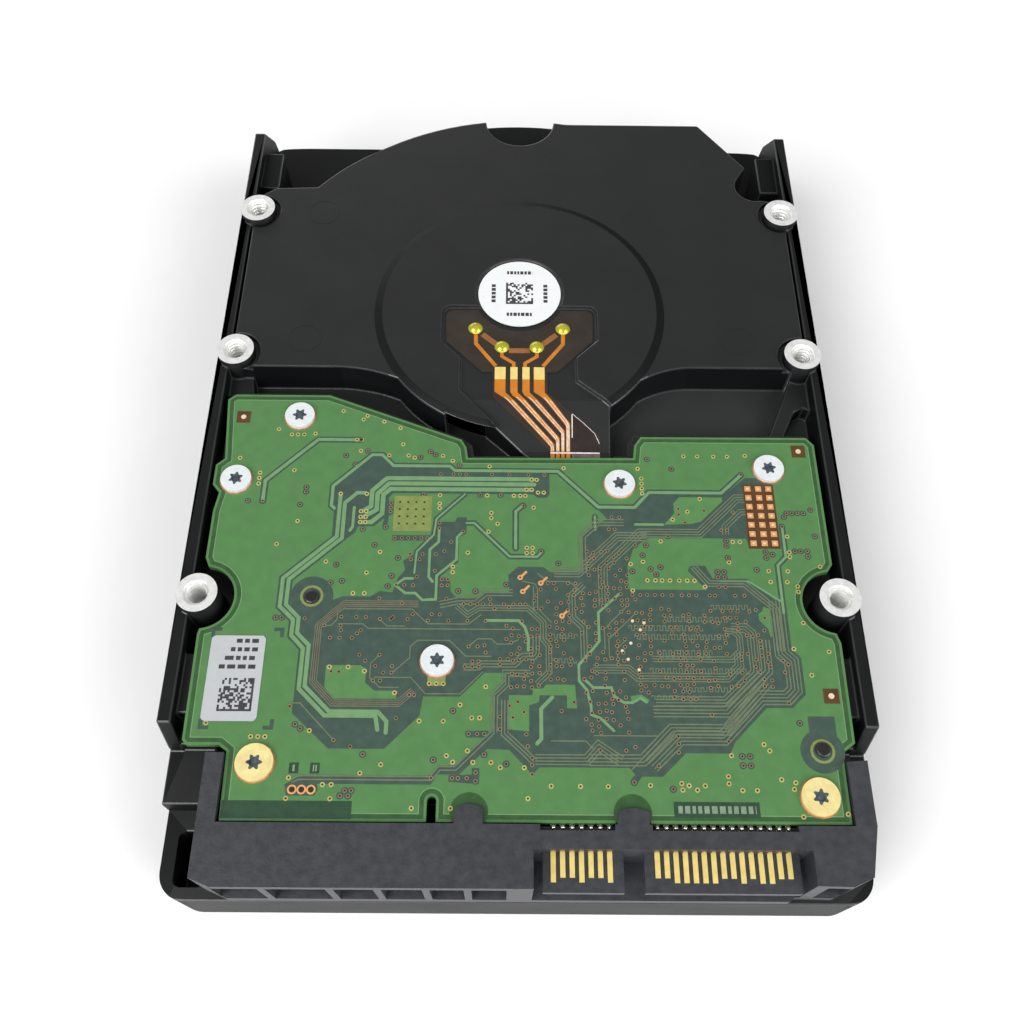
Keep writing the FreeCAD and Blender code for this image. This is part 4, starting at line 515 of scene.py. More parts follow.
# Seeded scatter: its pitch, and for each field its width, its length and its share of holes.
VIA_PITCH = 0.98
VIA_CLEARANCE = 0.75
VIA_FIELDS = [
    ((-1.5, 3.5), (-46.2, -36.0), 0.72), ((4.0, 8.5), (-45.0, -32.5), 0.55),
    ((9.0, 19.5), (-34.5, -23.0), 0.6), ((9.0, 16.5), (-52.8, -35.0), 0.62),
    ((17.0, 27.0), (-47.8, -33.0), 0.6), ((27.0, 37.5), (-46.0, -33.0), 0.5),
    ((2.0, 9.0), (-34.0, -28.5), 0.55), ((9.8, 17.0), (-53.5, -46.0), 0.4),
    ((-9.0, 1.0), (-36.0, -32.5), 0.3), ((3.8, 7.2), (-50.6, -47.8), 0.35),
]
TEAR_PADS = ((0.2, -28.6), (3.3, -29.5), (0.6, -30.9), (6.4, -34.8))
TINNED_DOTS = ((17.9, -36.9), (16.8, -35.5), (18.5, -35.8), (16.4, -39.0), (15.9, -41.5),
               (17.4, -43.1), (15.1, -40.2))
FIDUCIALS = ((-45.0, -0.2), (45.0, -5.9), (44.7, -46.8))
PIN_HOLES = ((-30.9, -31.9, 3.2), (42.4, -54.8, 3.1))
PLATED_HOLES = ((-30.9, -60.6), (-29.6, -60.6), (-28.3, -60.6))
TEST_PAD_COLUMNS = (36.1, 37.8, 39.4)
TEST_PAD_ROWS = [-12.9 - 1.6 * n for n in range(7)]
THERMAL_PITCH = 1.27
TABS = ((-6.7, -63.4), (15.5, -63.5))
LABEL_CORNERS = ((-45.0, -37.0, (1, -1)), (-34.4, -37.0, (-1, -1)),
                 (-45.0, -52.3, (1, 1)), (-34.4, -52.3, (-1, 1)))


def spread(rows):
    return [(x, y) for y, places in rows for x in places]


def within(point, outline):
    """True where a point lies inside a closed outline."""
    x, y = point
    inside = False
    for (ax, ay), (bx, by) in zip(outline, outline[1:] + outline[:1]):
        if (ay > y) != (by > y) and x < (bx - ax) * (y - ay) / (by - ay) + ax:
            inside = not inside
    return inside


def meander(start, end, y, swing):
    """Square wave track that takes up length between two chips."""
    step = 0.42
    route = [(start, y)]
    x, side = start, 1
    while x < end:
        route.append((x, y + side * swing / 2))
        route.append((x + step, y + side * swing / 2))
        x += step
        side = -side
    return route + [(x, y)]


def layer(name, outlines, tone, material):
    islands(name, outlines, BOARD_TOP - SINK, BOARD_TOP + tone, material)


def board_border():
    """Longest free edge of the board's upper face, in order, in mm."""
    net = bmesh.new()
    net.from_mesh(NODES["circuit_board"].data)
    bmesh.ops.remove_doubles(net, verts=net.verts, dist=1e-6)
    lower = [face for face in net.faces
             if face.normal.z < 0.9 or face.calc_center_median().z < (BOARD_TOP - 0.05) * MM]
    bmesh.ops.delete(net, geom=lower, context="FACES")
    free = [edge for edge in net.edges if edge.is_boundary]
    loops = []
    while free:
        edge = free.pop()
        first, here = edge.verts
        loop = [first, here]
        while here != first:
            step = next((e for e in here.link_edges if e in free), None)
            if step is None:
                break
            free.remove(step)
            here = step.other_vert(here)
            loop.append(here)
        loops.append([(v.co.x / MM, v.co.y / MM) for v in loop[:-1]])
    net.free()
    border = max(loops, key=lambda loop: sum(math.dist(a, b) for a, b in zip(loop, loop[1:])))
    # the strip runs straight past the two notches that the plug's tabs stand in
    border = [(x, y) for x, y in border
              if not (-64.7 < y < -61.0 and (-9.2 < x < -4.2 or 12.8 < x < 18.2))]
    area = sum(a[0] * b[1] - b[0] * a[1] for a, b in zip(border, border[1:] + border[:1]))
    return border if area > 0 else border[::-1]


def closed_shift(loop, offset):
    """A closed outline moved inwards by one distance, with mitred corners."""
    moved = []
    count = len(loop)
    for i, here in enumerate(loop):
        before, after = Vector(loop[i - 1]), Vector(loop[(i + 1) % count])
        into = (Vector(here) - before).normalized()
        out = (after - Vector(here)).normalized()
        along = (into + out).normalized()
        side = Vector((-along.y, along.x))
        reach = offset / max(0.6, side.dot(Vector((-into.y, into.x))))
        moved.append((here[0] + side.x * reach, here[1] + side.y * reach))
    return moved


def band(name, border, near, far, tone, material):
    """Flat strip that follows the board's edge between two distances from it."""
    verts, faces = [], []
    count = len(border)
    for offset in (near, far):
        for x, y in closed_shift(border, offset):
            verts.append((x * MM, y * MM, (BOARD_TOP + tone) * MM))
    for i in range(count):
        j = (i + 1) % count
        faces.append((i, j, count + j, count + i))
    new_piece(name, verts, faces, material)


def chosen_vias(rng, zone, taken):
    """Seeded scatter of small plated holes over the crowded fields, on a loose grid."""
    found = []
    for (left, right), (low, high), share in VIA_FIELDS:
        columns = int((right - left) / VIA_PITCH)
        rows = int((high - low) / VIA_PITCH)
        for row in range(rows):
            for column in range(columns):
                x = left + (column + 0.5) * VIA_PITCH + rng.uniform(-0.2, 0.2)
                y = low + (row + 0.5) * VIA_PITCH + rng.uniform(-0.2, 0.2)
                lucky = rng.random() < share
                clear = all(math.dist((x, y), other) > VIA_CLEARANCE for other in taken + found)
                if lucky and clear and within((x, y), zone):
                    found.append((x, y))
    return found


def add_board_artwork():
    """Every tone of the circuit, from the lowest layer to the highest."""
    rng = random.Random(7)
    mask = dict(roughness=0.36, scale=700.0, coat=0.25, bump=0.1, bump_scale=2500.0)
    bare = surface("mask_on_laminate", (0.045, 0.08, 0.062), variation=0.14, **mask)
    pour = surface("mask_on_copper", (0.086, 0.22, 0.07), variation=0.07, **mask)
    edge_dark = surface("mask_edge", (0.03, 0.09, 0.025), variation=0.15, **mask)
    broad = surface("mask_on_track", (0.15, 0.29, 0.13), variation=0.08, **mask)
    fine = surface("mask_on_fine_track", (0.13, 0.165, 0.1), variation=0.1, **mask)
    bus = surface("mask_on_bus", (0.15, 0.14, 0.09), variation=0.12, **mask)
    olive = surface("mask_tented", (0.2, 0.25, 0.07), variation=0.12, **mask)
    gold_ring = surface("via_ring_pale", (0.42, 0.38, 0.13), roughness=0.35, variation=0.12)
    brown_ring = surface("via_ring_tan", (0.26, 0.18, 0.1), roughness=0.4, variation=0.15)
    dark_hole = surface("via_bore", (0.02, 0.014, 0.008), roughness=0.5)
    pad = surface("copper_pad", (0.85, 0.42, 0.16), roughness=0.4, metallic=0.35,
                  variation=0.12, scale=900.0)
    bright = surface("tinned_pad", (0.9, 0.74, 0.5), roughness=0.35, metallic=0.3,
                     variation=0.1, scale=900.0)
    print_field = surface("mask_print_field", (0.022, 0.06, 0.03), variation=0.15, **mask)
    umber = surface("window_laminate", (0.085, 0.035, 0.01), roughness=0.5, variation=0.2)

    border = board_border()
    band("board_edge_shadow", border, 0.38, 1.0, BARE, edge_dark)
    band("board_edge_glint", border, 1.0, 1.14, BARE, broad)

    dark = [list(zone) for zone in BARE_ZONES]
    dark += [ribbon_outline(route, width + 0.58) for width, route in OUTLINED]
    dark += [circle((x, y), 0.5) for x, y in spread(DARK_ROWS)]
    dark += [circle((x, y), radius, 48) for x, y, radius in PIN_HOLES]
    dark += [[(-32.0, -59.9), (-31.2, -59.5), (-27.6, -59.6), (-27.4, -60.6), (-27.8, -61.4),
              (-31.6, -61.4)]]
    dark += [corner_mark(*corner) for corner in LABEL_CORNERS]
    layer("laminate_fields", dark, BARE, bare)
    layer("bare_strip", [[(-40.2, -62.1), (-22.6, -62.1), (-22.6, -64.5), (-40.2, -64.5)],
                         [(21.1, -61.9), (32.8, -61.9), (32.8, -64.0), (21.1, -64.0)],
                         [(-31.6, -56.9), (-30.3, -56.9), (-30.3, -58.4), (-31.6, -58.4)],
                         [(-28.7, -56.9), (-27.4, -56.9), (-27.4, -58.4), (-28.7, -58.4)]],
          PRINT_FIELD, print_field)
    layer("connector_tab_shadows", [circle(place, 2.6, 40) for place in TABS], TAB_SHADOW,
          edge_dark)

    layer("copper_islands", COPPER_ISLANDS[:4] + COPPER_ISLANDS[5:], POUR, pour)
    layer("tented_patch", [COPPER_ISLANDS[4],
                           [(-19.5, -14.7), (-13.6, -14.7), (-13.6, -20.9), (-19.5, -20.9)]],
          POUR, olive)
    tracks = [ribbon_outline(route, width) for width, route in OUTLINED + BROAD]
    layer("broad_tracks", tracks, LINE, broad)

    thin = []
    for count, pitch, width, route in BUNDLES:
        for n in range(count):
            thin.append(ribbon_outline(shifted(route, n * pitch), width))
    thin += [ribbon_outline(route, 0.18) for route in FINE]
    for start, end, y, swing in MEANDERS:
        thin.append(ribbon_outline(meander(start, end, y, swing), 0.14))
    layer("fine_tracks", thin, THIN_LINE, fine)
    layer("bus_tracks", [ribbon_outline(shifted(route, n * pitch), width)
                         for count, pitch, width, route in BROWN_BUS for n in range(count)],
          THIN_LINE, bus)

    gold, darks, browns = spread(GOLD_ROWS), spread(DARK_ROWS), spread(BROWN_ROWS)
    keep_clear = gold + darks + browns + list(TEAR_PADS)
    scatter = chosen_vias(rng, BARE_ZONES[0], keep_clear)
    low = BOARD_TOP - RING_SINK
    rings("via_rings_pale", gold, 0.15, 0.36, low, BOARD_TOP + RING, gold_ring)
    rings("via_rings_dark", darks + browns + scatter, 0.17, 0.29, low, BOARD_TOP + RING,
          brown_ring)
    thermal = [(-18.6 + THERMAL_PITCH * i, -15.8 - THERMAL_PITCH * j)
               for i in range(4) for j in range(4)]
    layer("via_bores", [circle(place, 0.15, 10) for place in gold + darks + browns + scatter
                        + thermal], HOLE, dark_hole)

    layer("test_pad_window", [[(35.3, -12.1), (40.2, -12.1), (40.2, -23.4), (35.3, -23.4)]],
          WINDOW, umber)
    squares = [(x, y) for x in TEST_PAD_COLUMNS for y in TEST_PAD_ROWS]
    layer("test_pads", [square(place, 0.47) for place in squares], RING, pad)
    layer("test_pad_centres", [circle(place, 0.2, 12) for place in squares], HOLE, bright)
    layer("fiducial_windows", [square(place, 1.1) for place in FIDUCIALS], LINE, umber)
    layer("fiducial_dots", [circle(place, 0.42, 24) for place in FIDUCIALS], HOLE, bright)
    tear = [ribbon_outline([(x, y), (x + 0.9, y + 0.9)], 0.36) for x, y in TEAR_PADS]
    layer("tear_pads", [circle(place, 0.42) for place in TEAR_PADS] + tear, RING, pad)
    layer("tinned_dots", [circle(place, 0.24, 14) for place in TINNED_DOTS], DOT, bright)
    layer("tear_pad_centres", [circle(place, 0.14, 10) for place in TEAR_PADS], HOLE, dark_hole)
    rings("pin_hole_rings", [(x, y) for x, y, _ in PIN_HOLES], 1.35, 1.75, low,
          BOARD_TOP + LINE, olive)
    rings("plated_hole_rings", PLATED_HOLES, 0.42, 0.66, low, BOARD_TOP + RING, pad)
    layer("plated_hole_bores", [circle(place, 0.43, 20) for place in PLATED_HOLES],
          BORE_FLOOR, dark_hole)


def square(place, half):
    x, y = place
    return [(x - half, y - half), (x + half, y - half), (x + half, y + half), (x - half, y + half)]


def corner_mark(x, y, turn):
    """L-shaped mark that shows where the label goes."""
    arm, thick = 1.5, 0.55
    dx, dy = turn
    return [(x, y), (x + dx * arm, y), (x + dx * arm, y + dy * thick),
            (x + dx * thick, y + dy * thick), (x + dx * thick, y + dy * arm), (x, y + dy * arm)]


def shifted(route, offset):
    """An open route moved to its left, with mitred corners."""
    moved = []
    for i, here in enumerate(route):
        before = route[max(i - 1, 0)]
        after = route[min(i + 1, len(route) - 1)]
        into = Vector((here[0] - before[0], here[1] - before[1]))
        out = Vector((after[0] - here[0], after[1] - here[1]))
        into = into.normalized() if into.length > 1e-9 else out.normalized()
        out = out.normalized() if out.length > 1e-9 else into
        along = (into + out).normalized()
        side = Vector((-along.y, along.x))
        reach = offset / max(0.5, side.dot(Vector((-into.y, into.x))))
        moved.append((here[0] + side.x * reach, here[1] + side.y * reach))
    return moved


# ---------------------------------------------------------------- fasteners, holes and contacts

SOCKET_REACH = 1.15
SOCKET_DEPTH = 0.3
SOCKET_RISE = 0.012
SOCKET_TURN = 0.4
RIM_RISE = 0.015
LAND_RISE = 0.03
THREAD_PITCH = 0.79
THREAD_TURNS = 6
THREAD_DEPTH = 0.26
THREAD_START = 0.45
CONTACT_PITCH = 1.27
CONTACT_HALF = 0.35
TAIL_Y = -65.25


def star_mouth(place, lobe, level, floor, verts, faces, turn=0.0):
    """Six-lobed socket mouth: a dark star on the head and the floor of the round bore."""
    count, lobes, bore = 48, 6, 0.66
    start = len(verts)
    for i in range(count):
        angle = math.tau * i / count
        reach = lobe * (0.8 + 0.2 * math.cos(lobes * (angle - turn)))
        for radius, height in ((reach, level), (bore, level), (bore * 0.9, floor)):
            verts.append(((place[0] + radius * math.cos(angle)) * MM,
                          (place[1] + radius * math.sin(angle)) * MM, height * MM))
    for i in range(count):
        a, b = start + 3 * i, start + 3 * ((i + 1) % count)
        faces.append((a, b, b + 1, a + 1))
        faces.append((a + 1, b + 1, b + 2, a + 2))
    faces.append(tuple(start + 3 * i + 2 for i in range(count)))


def add_screw_details(zinc, yellow):
    """Star sockets, the copper lands round the heads and the rims on them."""
    socket = surface("socket_shade", (0.11, 0.14, 0.16), 0.35, metallic=0.5, variation=0.45,
                     scale=1500.0)
    ring_tone = surface("screw_land", (0.5, 0.2, 0.09), 0.4, metallic=0.3, variation=0.3,
                        scale=1200.0)
    groups = (("white_board_screws", WHITE_SCREWS, 2.4, zinc),
              ("gold_board_screws", GOLD_SCREWS, 2.65, yellow))
    for node, places, radius, plating in groups:
        verts, faces = [], []
        for n, place in enumerate(places):
            star_mouth(place, SOCKET_REACH, top_of(node) + SOCKET_RISE,
                       top_of(node) - SOCKET_DEPTH, verts, faces, turn=SOCKET_TURN * n)
        new_piece(node + "_sockets", verts, faces, socket)
        rings(node + "_lands", places, radius - 0.1, radius + 0.22, BOARD_TOP - RING_SINK,
              BOARD_TOP + LAND_RISE, ring_tone)
        rings(node + "_rims", places, radius - 0.42, radius - 0.3, top_of(node) - 0.1,
              top_of(node) + RIM_RISE, plating)


def add_thread_ridges():
    """Thread turns inside the six bare mounting holes."""
    bare = bpy.data.materials["bare_alloy"]
    steps = 28
    verts, faces = [], []

    def coil(origin, axis, across, up, radius):
        start = len(verts)
        total = THREAD_TURNS * steps
        for i in range(total + 1):
            angle = math.tau * i / steps
            depth = THREAD_START + THREAD_PITCH * i / steps
            out = across * math.cos(angle) + up * math.sin(angle)
            for reach, shift in ((radius, -0.3), (radius - THREAD_DEPTH, 0.0), (radius, 0.3)):
                verts.append(tuple((origin + out * reach + axis * (depth + shift)) * MM))
        for i in range(total):
            for k in (0, 1):
                a = start + 3 * i + k
                faces.append((a, a + 1, a + 4, a + 3))

    for y in MOUNT_Y:
        for side in (-1, 1):
            coil(Vector((side * MOUNT_X, y, DRIVE_TOP)), Vector((0, 0, -1)),
                 Vector((1, 0, 0)), Vector((0, 1, 0)), HOLE_RADIUS - 0.01)
    new_piece("mounting_threads", verts, faces, bare, smooth=True)


def dome(place, radius, height, base, verts, faces, around=16, rows=5, stretch=1.0):
    """Low rounded bead on a flat base, in mm."""
    start = len(verts)
    for row in range(rows):
        lift = math.pi / 2 * row / rows
        for i in range(around):
            angle = math.tau * i / around
            verts.append(((place[0] + radius * math.cos(lift) * math.cos(angle)) * MM,
                          (place[1] + radius * stretch * math.cos(lift) * math.sin(angle)) * MM,
                          (base + height * math.sin(lift)) * MM))
    verts.append((place[0] * MM, place[1] * MM, (base + height) * MM))
    tip = len(verts) - 1
    for row in range(rows - 1):
        for i in range(around):
            j = (i + 1) % around
            a, b = start + row * around, start + (row + 1) * around
            faces.append((a + i, a + j, b + j, b + i))
    last = start + (rows - 1) * around
    for i in range(around):
        faces.append((last + i, last + (i + 1) % around, tip))


def domes(name, places, radius, height, base, material, stretch=1.0):
    verts, faces = [], []
    for place in places:
        dome(place, radius, height, base, verts, faces, stretch=stretch)
    new_piece(name, verts, faces, material, smooth=True)


def add_solder_tails():
    """Tinned joints where the contact tails meet the front edge of the board."""
    tin = surface("tinned_joint", (0.8, 0.8, 0.8), 0.22, metallic=1.0, variation=0.15,
                  scale=1500.0)
    places = []
    for node, count in (("signal_contacts", 7), ("power_contacts", 15)):
        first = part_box(node)[0].x / MM + CONTACT_HALF
        places += [(first + CONTACT_PITCH * n, TAIL_Y) for n in range(count)]
    domes("contact_joints", places, 0.38, 0.5, BOARD_TOP - 0.75, tin, stretch=1.35)


# ---------------------------------------------------------------- flat cable of the motor

# Bands side by side differ by this much in height, in mm.
BAND_STAGGER = 0.004
# Height from which the cable's surface is probed, in m.
RAY_START = 0.04


def flex_level(x, y):
    """Height of the flat cable's upper face under a point, in mm."""
    hit = FLEX_TREE.ray_cast(Vector((x * MM, y * MM, RAY_START)), Vector((0, 0, -1)))
    return hit[0].z / MM if hit[0] else None


def along(route, step=0.22):
    """Points along a route at short even steps."""
    points = []
    for a, b in zip(route, route[1:]):
        count = max(1, int(math.dist(a, b) / step))
        points += [(a[0] + (b[0] - a[0]) * i / count, a[1] + (b[1] - a[1]) * i / count)
                   for i in range(count)]
    return points + [route[-1]]


def draped_strips(name, strips, lift, material):
    """Flat conductors that lie on the flat cable and follow its folds."""
    verts, faces = [], []
    for n, (width, route) in enumerate(strips):
        points = along(route)
        height = lift + BAND_STAGGER * (n % 3)
        left, right = shifted(points, width / 2), shifted(points, -width / 2)
        start = len(verts)
        level = None
        for a, b, middle in zip(left, right, points):
            level = flex_level(*middle) or level
            verts.append((a[0] * MM, a[1] * MM, (level + height) * MM))
            verts.append((b[0] * MM, b[1] * MM, (level + height) * MM))
        for i in range(len(points) - 1):
            k = start + 2 * i
            faces.append((k, k + 1, k + 3, k + 2))
    new_piece(name, verts, faces, material)


def edge_at(route, y):
    """Place across the cable of an edge that runs down through y."""
    for (x_high, high), (x_low, low) in zip(route, route[1:]):
        if low <= y <= high:
            return x_low + (x_high - x_low) * (y - low) / (high - low)
    return route[-1][0] if y < route[-1][1] else route[0][0]


def draped_bands(name, bands, lift, material, step=0.3):
    """Flat conductors between a left and a right edge, draped on the cable row by row."""
    verts, faces = [], []
    for n, (left, right) in enumerate(bands):
        height = lift + BAND_STAGGER * (n % 3)
        high, low = left[0][1], left[-1][1]
        count = max(1, round((high - low) / step))
        rows = {high - (high - low) * i / count for i in range(count + 1)}
        rows = sorted(rows | {y for _, y in left + right if low < y < high}, reverse=True)
        start = len(verts)
        level = None
        for y in rows:
            for x in (edge_at(left, y), edge_at(right, y)):
                level = flex_level(x, y) or level
                verts.append((x * MM, y * MM, (level + height) * MM))
        for i in range(len(rows) - 1):
            k = start + 2 * i
            faces.append((k, k + 2, k + 3, k + 1))
    new_piece(name, verts, faces, material)


def cable_bands():
    """Left and right edges of the four conductors and of the glints along them."""
    pads = ((-4.1, -2.3), (-1.5, -0.3), (0.5, 1.7), (2.4, 4.2))
    ends = ((5.1, 5.75), (6.0, 6.6), (6.85, 7.4), (7.65, 8.3))
    knees = (-4.6, -3.6, -2.4, -1.2)
    conductors, glints = [], []
    for (left, right), (end_left, end_right), knee in zip(pads, ends, knees):
        right_edge = [(right, 7.0), (right, 4.4), (end_right, knee + 0.3), (end_right, -11.2)]
        waist = edge_at(right_edge, 2.6)
        left_edge = [(left, 7.0), (left, 4.5), (right - 0.8, 3.75), (waist - 1.05, 2.6),
                     (end_left, knee - 0.1), (end_left, -11.2)]
        conductors.append((left_edge, right_edge))
        for share, high in ((0.3, 3.5), (0.72, 2.9)):
            rows = (high, knee + 0.6, knee - 0.2, -5.4)
            middle = [(edge_at(left_edge, y) * (1 - share) + edge_at(right_edge, y) * share, y)
                      for y in rows]
            glints.append(([(x - 0.1, y) for x, y in middle], [(x + 0.1, y) for x, y in middle]))
    return pads, conductors, glints


def add_flat_cable_artwork():
    """Conductors, solder lands, clear film and pale lines on the flat cable of the motor; the pale
    lines on its crease and along the film's edges, and the pale band over its tail, are painted
    highlights.
    """
    copper = surface("flex_copper", (0.9, 0.3, 0.03), 0.28, metallic=0.5, variation=0.14,
                     scale=500.0, coat=0.3, bump=0.15, bump_scale=1800.0)
    light = surface("flex_gold", (1.0, 0.74, 0.24), 0.3, metallic=0.25, variation=0.1,
                    scale=700.0)
    buried = surface("flex_buried_copper", (0.26, 0.1, 0.03), 0.3, variation=0.2, scale=500.0)
    glare = surface("flex_glint", (0.98, 0.72, 0.55), 0.25, metallic=0.3, variation=0.35,
                    scale=1500.0)
    film = surface("flex_clear_film", (0.022, 0.013, 0.011), 0.12, variation=0.4, scale=400.0,
                   coat=0.8, bump=0.25, bump_scale=900.0)
    # Pale colour for the lines on the crease and along the film's edges: painted highlights; the
    # crease itself is real.
    film_line_highlight = surface("flex_film_line_highlight", (0.75, 0.72, 0.68), 0.3, variation=0.2, scale=900.0)
    # Pale band across the tail of the film: painted glare.
    tail_glare = surface("flex_film_tail_glare", (0.16, 0.12, 0.11), 0.3, variation=0.4, scale=700.0)

    pads, conductors, glints = cable_bands()
    draped_bands("flex_conductors", conductors, 0.03, copper)
    draped_bands("flex_glints", glints, 0.05, glare)
    draped_bands("flex_bright_pads", [([(left, 9.5), (left, 7.0)], [(right, 9.5), (right, 7.0)])
                                      for left, right in pads], 0.045, light)
    leads, links = [], [(1.0, [(-1.8, 12.9), (1.8, 12.9)])]
    for side in (-1, 1):
        leads.append((0.66, [(7.45 * side, 17.2), (7.35 * side, 14.3), (3.95 * side, 9.7)]))
        leads.append((0.6, [(2.95 * side, 13.0), (2.95 * side, 11.7), (0.95 * side, 10.3),
                            (0.95 * side, 9.5)]))
        links.append((1.0, [(6.3 * side, 16.3), (3.9 * side, 14.2)]))
    draped_strips("flex_leads", leads, 0.03, copper)
    draped_strips("flex_links", links, 0.022, buried)
    fold = [(8.7, 0.7), (10.6, -0.9), (12.3, -2.5), (13.1, -4.2)]
    draped_bands("flex_film", [([(8.6, 0.7), (8.6, -5.6)], fold + [(13.1, -5.6)])], 0.02, film)
    # Pale band across the tail of the film, painted glare.
    draped_bands("flex_film_tail_glare", [([(8.6, -5.95), (8.6, -7.6)], [(13.1, -5.95), (13.1, -7.6)])],
                 0.024, tail_glare)
    # Pale lines on the crease and along the film's edges: painted highlights.
    draped_strips("flex_film_line_highlights", [(0.28, [(5.1, -5.75), (13.1, -5.75)]),
                                     (0.16, [(8.65, 0.6), (8.65, -3.2)]),
                                     (0.1, fold)], 0.06, film_line_highlight)


# ---------------------------------------------------------------- labels with generic print

PRINT_SINK = 0.005
PRINT_RISE = 0.012
FILLED_SHARE = 0.48


def code_block(rng, left, low, cells, size, mirrored=False):
    """Generic square pattern: solid sides and seeded cells inside."""
    outlines = []
    for row in range(cells):
        for column in range(cells):
            border = row == 0 or column == (cells - 1 if mirrored else 0)
            if border or rng.random() < FILLED_SHARE:
                x, y = left + column * size, low + row * size
                outlines.append([(x, y), (x + size, y), (x + size, y + size), (x, y + size)])
    return outlines


def print_bars(rng, left, right, y, height, low=0.4, high=1.3, gap=0.35):
    """A line of generic print: short blocks of uneven length, no letters."""
    bars = []
    x = left
    while x < right:
        end = min(right, x + rng.uniform(low, high))
        bars.append([(x, y), (end, y), (end, y + height), (x, y + height)])
        x = end + gap
    return bars


def add_label_print():
    """Generic print on the two labels and the board: no letters and no numbers."""
    rng = random.Random(11)
    ink = surface("label_ink", (0.04, 0.04, 0.045), 0.5, variation=0.3, scale=1500.0)
    level = top_of("board_label")
    marks = code_block(rng, -42.7, -49.7, 16, 0.306, mirrored=True)
    for n in range(4):
        marks += print_bars(rng, -43.2 + 0.7 * n, -37.9, -43.4 + 1.32 * n, 0.62)
    islands("board_label_print", marks, level - PRINT_SINK, level + PRINT_RISE, ink)

    x, y = middle_of("motor_label").x, middle_of("motor_label").y
    level = top_of("motor_label")
    marks = code_block(rng, x - 2.35, y - 2.35, 14, 0.336)
    for side in (-1, 1):
        marks += print_bars(rng, x - 2.2, x + 2.2, y + side * 4.6 - 0.35, 0.7, 0.3, 0.6, 0.18)
        for n in range(5):
            low = y - 2.0 + 0.84 * n
            marks.append([(x + side * 4.5 - 0.35, low), (x + side * 4.5 + 0.35, low),
                          (x + side * 4.5 + 0.35, low + 0.6), (x + side * 4.5 - 0.35, low + 0.6)])
    islands("motor_label_print", marks, level - PRINT_SINK, level + PRINT_RISE, ink)

    pale = surface("board_ink", (0.2, 0.27, 0.18), 0.45, variation=0.15, scale=1200.0)
    marks = print_bars(rng, 21.7, 32.3, -63.45, 1.0, 0.45, 0.8, 0.32)
    marks += [[(-31.1, -58.1), (-30.8, -58.1), (-30.8, -57.2), (-31.1, -57.2)],
              [(-28.3, -58.1), (-28.1, -58.1), (-28.1, -57.2), (-28.3, -57.2)],
              [(-27.95, -58.1), (-27.75, -58.1), (-27.75, -57.2), (-27.95, -57.2)]]
    layer("board_print", marks, RING, pale)


# ---------------------------------------------------------------- small marks on the casting

def add_casting_marks():
    """Three faint round marks on the deck, left by the casting tool."""
    coat = bpy.data.materials["black_coat"]
    deck = FLEX_HIGH - 0.15
    rings("ejector_marks", ((-35.7, 43.9), (-36.4, 15.3), (37.2, 15.5)), 2.65, 2.9,
          deck - 0.03, deck + 0.035, coat)


def add_foam_fringe():
    """Frayed edge of the insulating foam along the rear edge of the board."""
    rng = random.Random(3)
    foam = surface("frayed_foam", (0.075, 0.07, 0.068), 0.95, variation=0.6, scale=2500.0)
    verts, faces = [], []
    high = top_of("insulating_foam")
    edge = [(-45.0, 4.3), (-31.4, 4.3), (-21.0, 0.4), (-9.8, -3.9)]
    for x, y in along(edge, 0.45):
        reach = rng.uniform(0.15, 0.75)
        start = len(verts)
        half = rng.uniform(0.15, 0.3)
        lift = rng.uniform(0.1, 0.6)
        for dx, dy, dz in ((-half, -0.1, -1.0), (half, -0.1, -1.0), (half * 0.4, reach, -0.2),
                           (0.0, reach * 0.6, lift), (-half * 0.5, reach * 0.8, 0.0)):
            verts.append(((x + dx) * MM, (y + dy) * MM, (high + dz) * MM))
        faces += [(start, start + 1, start + 3), (start + 1, start + 2, start + 3),
                  (start + 2, start + 4, start + 3), (start + 4, start, start + 3),
                  (start, start + 4, start + 2, start + 1)]
    new_piece("foam_fringe", verts, faces, foam)


# ---------------------------------------------------------------- finishes of the CAD nodes

def soften(node, width, segments=2, angle=35.0):
    """Small rounding on the sharp edges of a CAD node."""
    bevel = NODES[node].modifiers.new("edge_rounding", "BEVEL")
    bevel.width = width * MM
    bevel.segments = segments
    bevel.limit_method = "ANGLE"
    bevel.angle_limit = math.radians(angle)
    bevel.use_clamp_overlap = True


def cramped(x, y, z):
    """Places with no room for a rounding: rail feet, the thin side of a boss, the rear rim."""
    rail_foot = abs(x) > 48.0 and abs(y) > 50.0 and 12.0 < z < 13.0
    boss_side = 50.0 < abs(x) < 50.79 and z > 24.0
    rear_rim = y > 73.0 and abs(x) < 4.0 and 12.0 < z < 13.0
    return rail_foot or boss_side or rear_rim


def coated_edges(mesh, angle=30.0):
    """Marks the sharp edges between two coated faces, for the rounding."""
    sharp = math.cos(math.radians(angle))
    places = [tuple(round(c / MM, 3) for c in vertex.co) for vertex in mesh.vertices]
    beside = {}
    for face in mesh.polygons:
        for a, b in face.edge_keys:
            beside.setdefault(frozenset((places[a], places[b])), []).append(face)
    weight = mesh.attributes.new("bevel_weight_edge", "FLOAT", "EDGE")
    for edge in mesh.edges:
        faces = beside.get(frozenset(places[v] for v in edge.vertices), [])
        if len(faces) == 2 and faces[0].normal.dot(faces[1].normal) < sharp:
            roomy = not any(cramped(*places[v]) for v in edge.vertices)
            if roomy and all(face.material_index != BARE_ALLOY for face in faces):
                weight.data[edge.index].value = 1.0


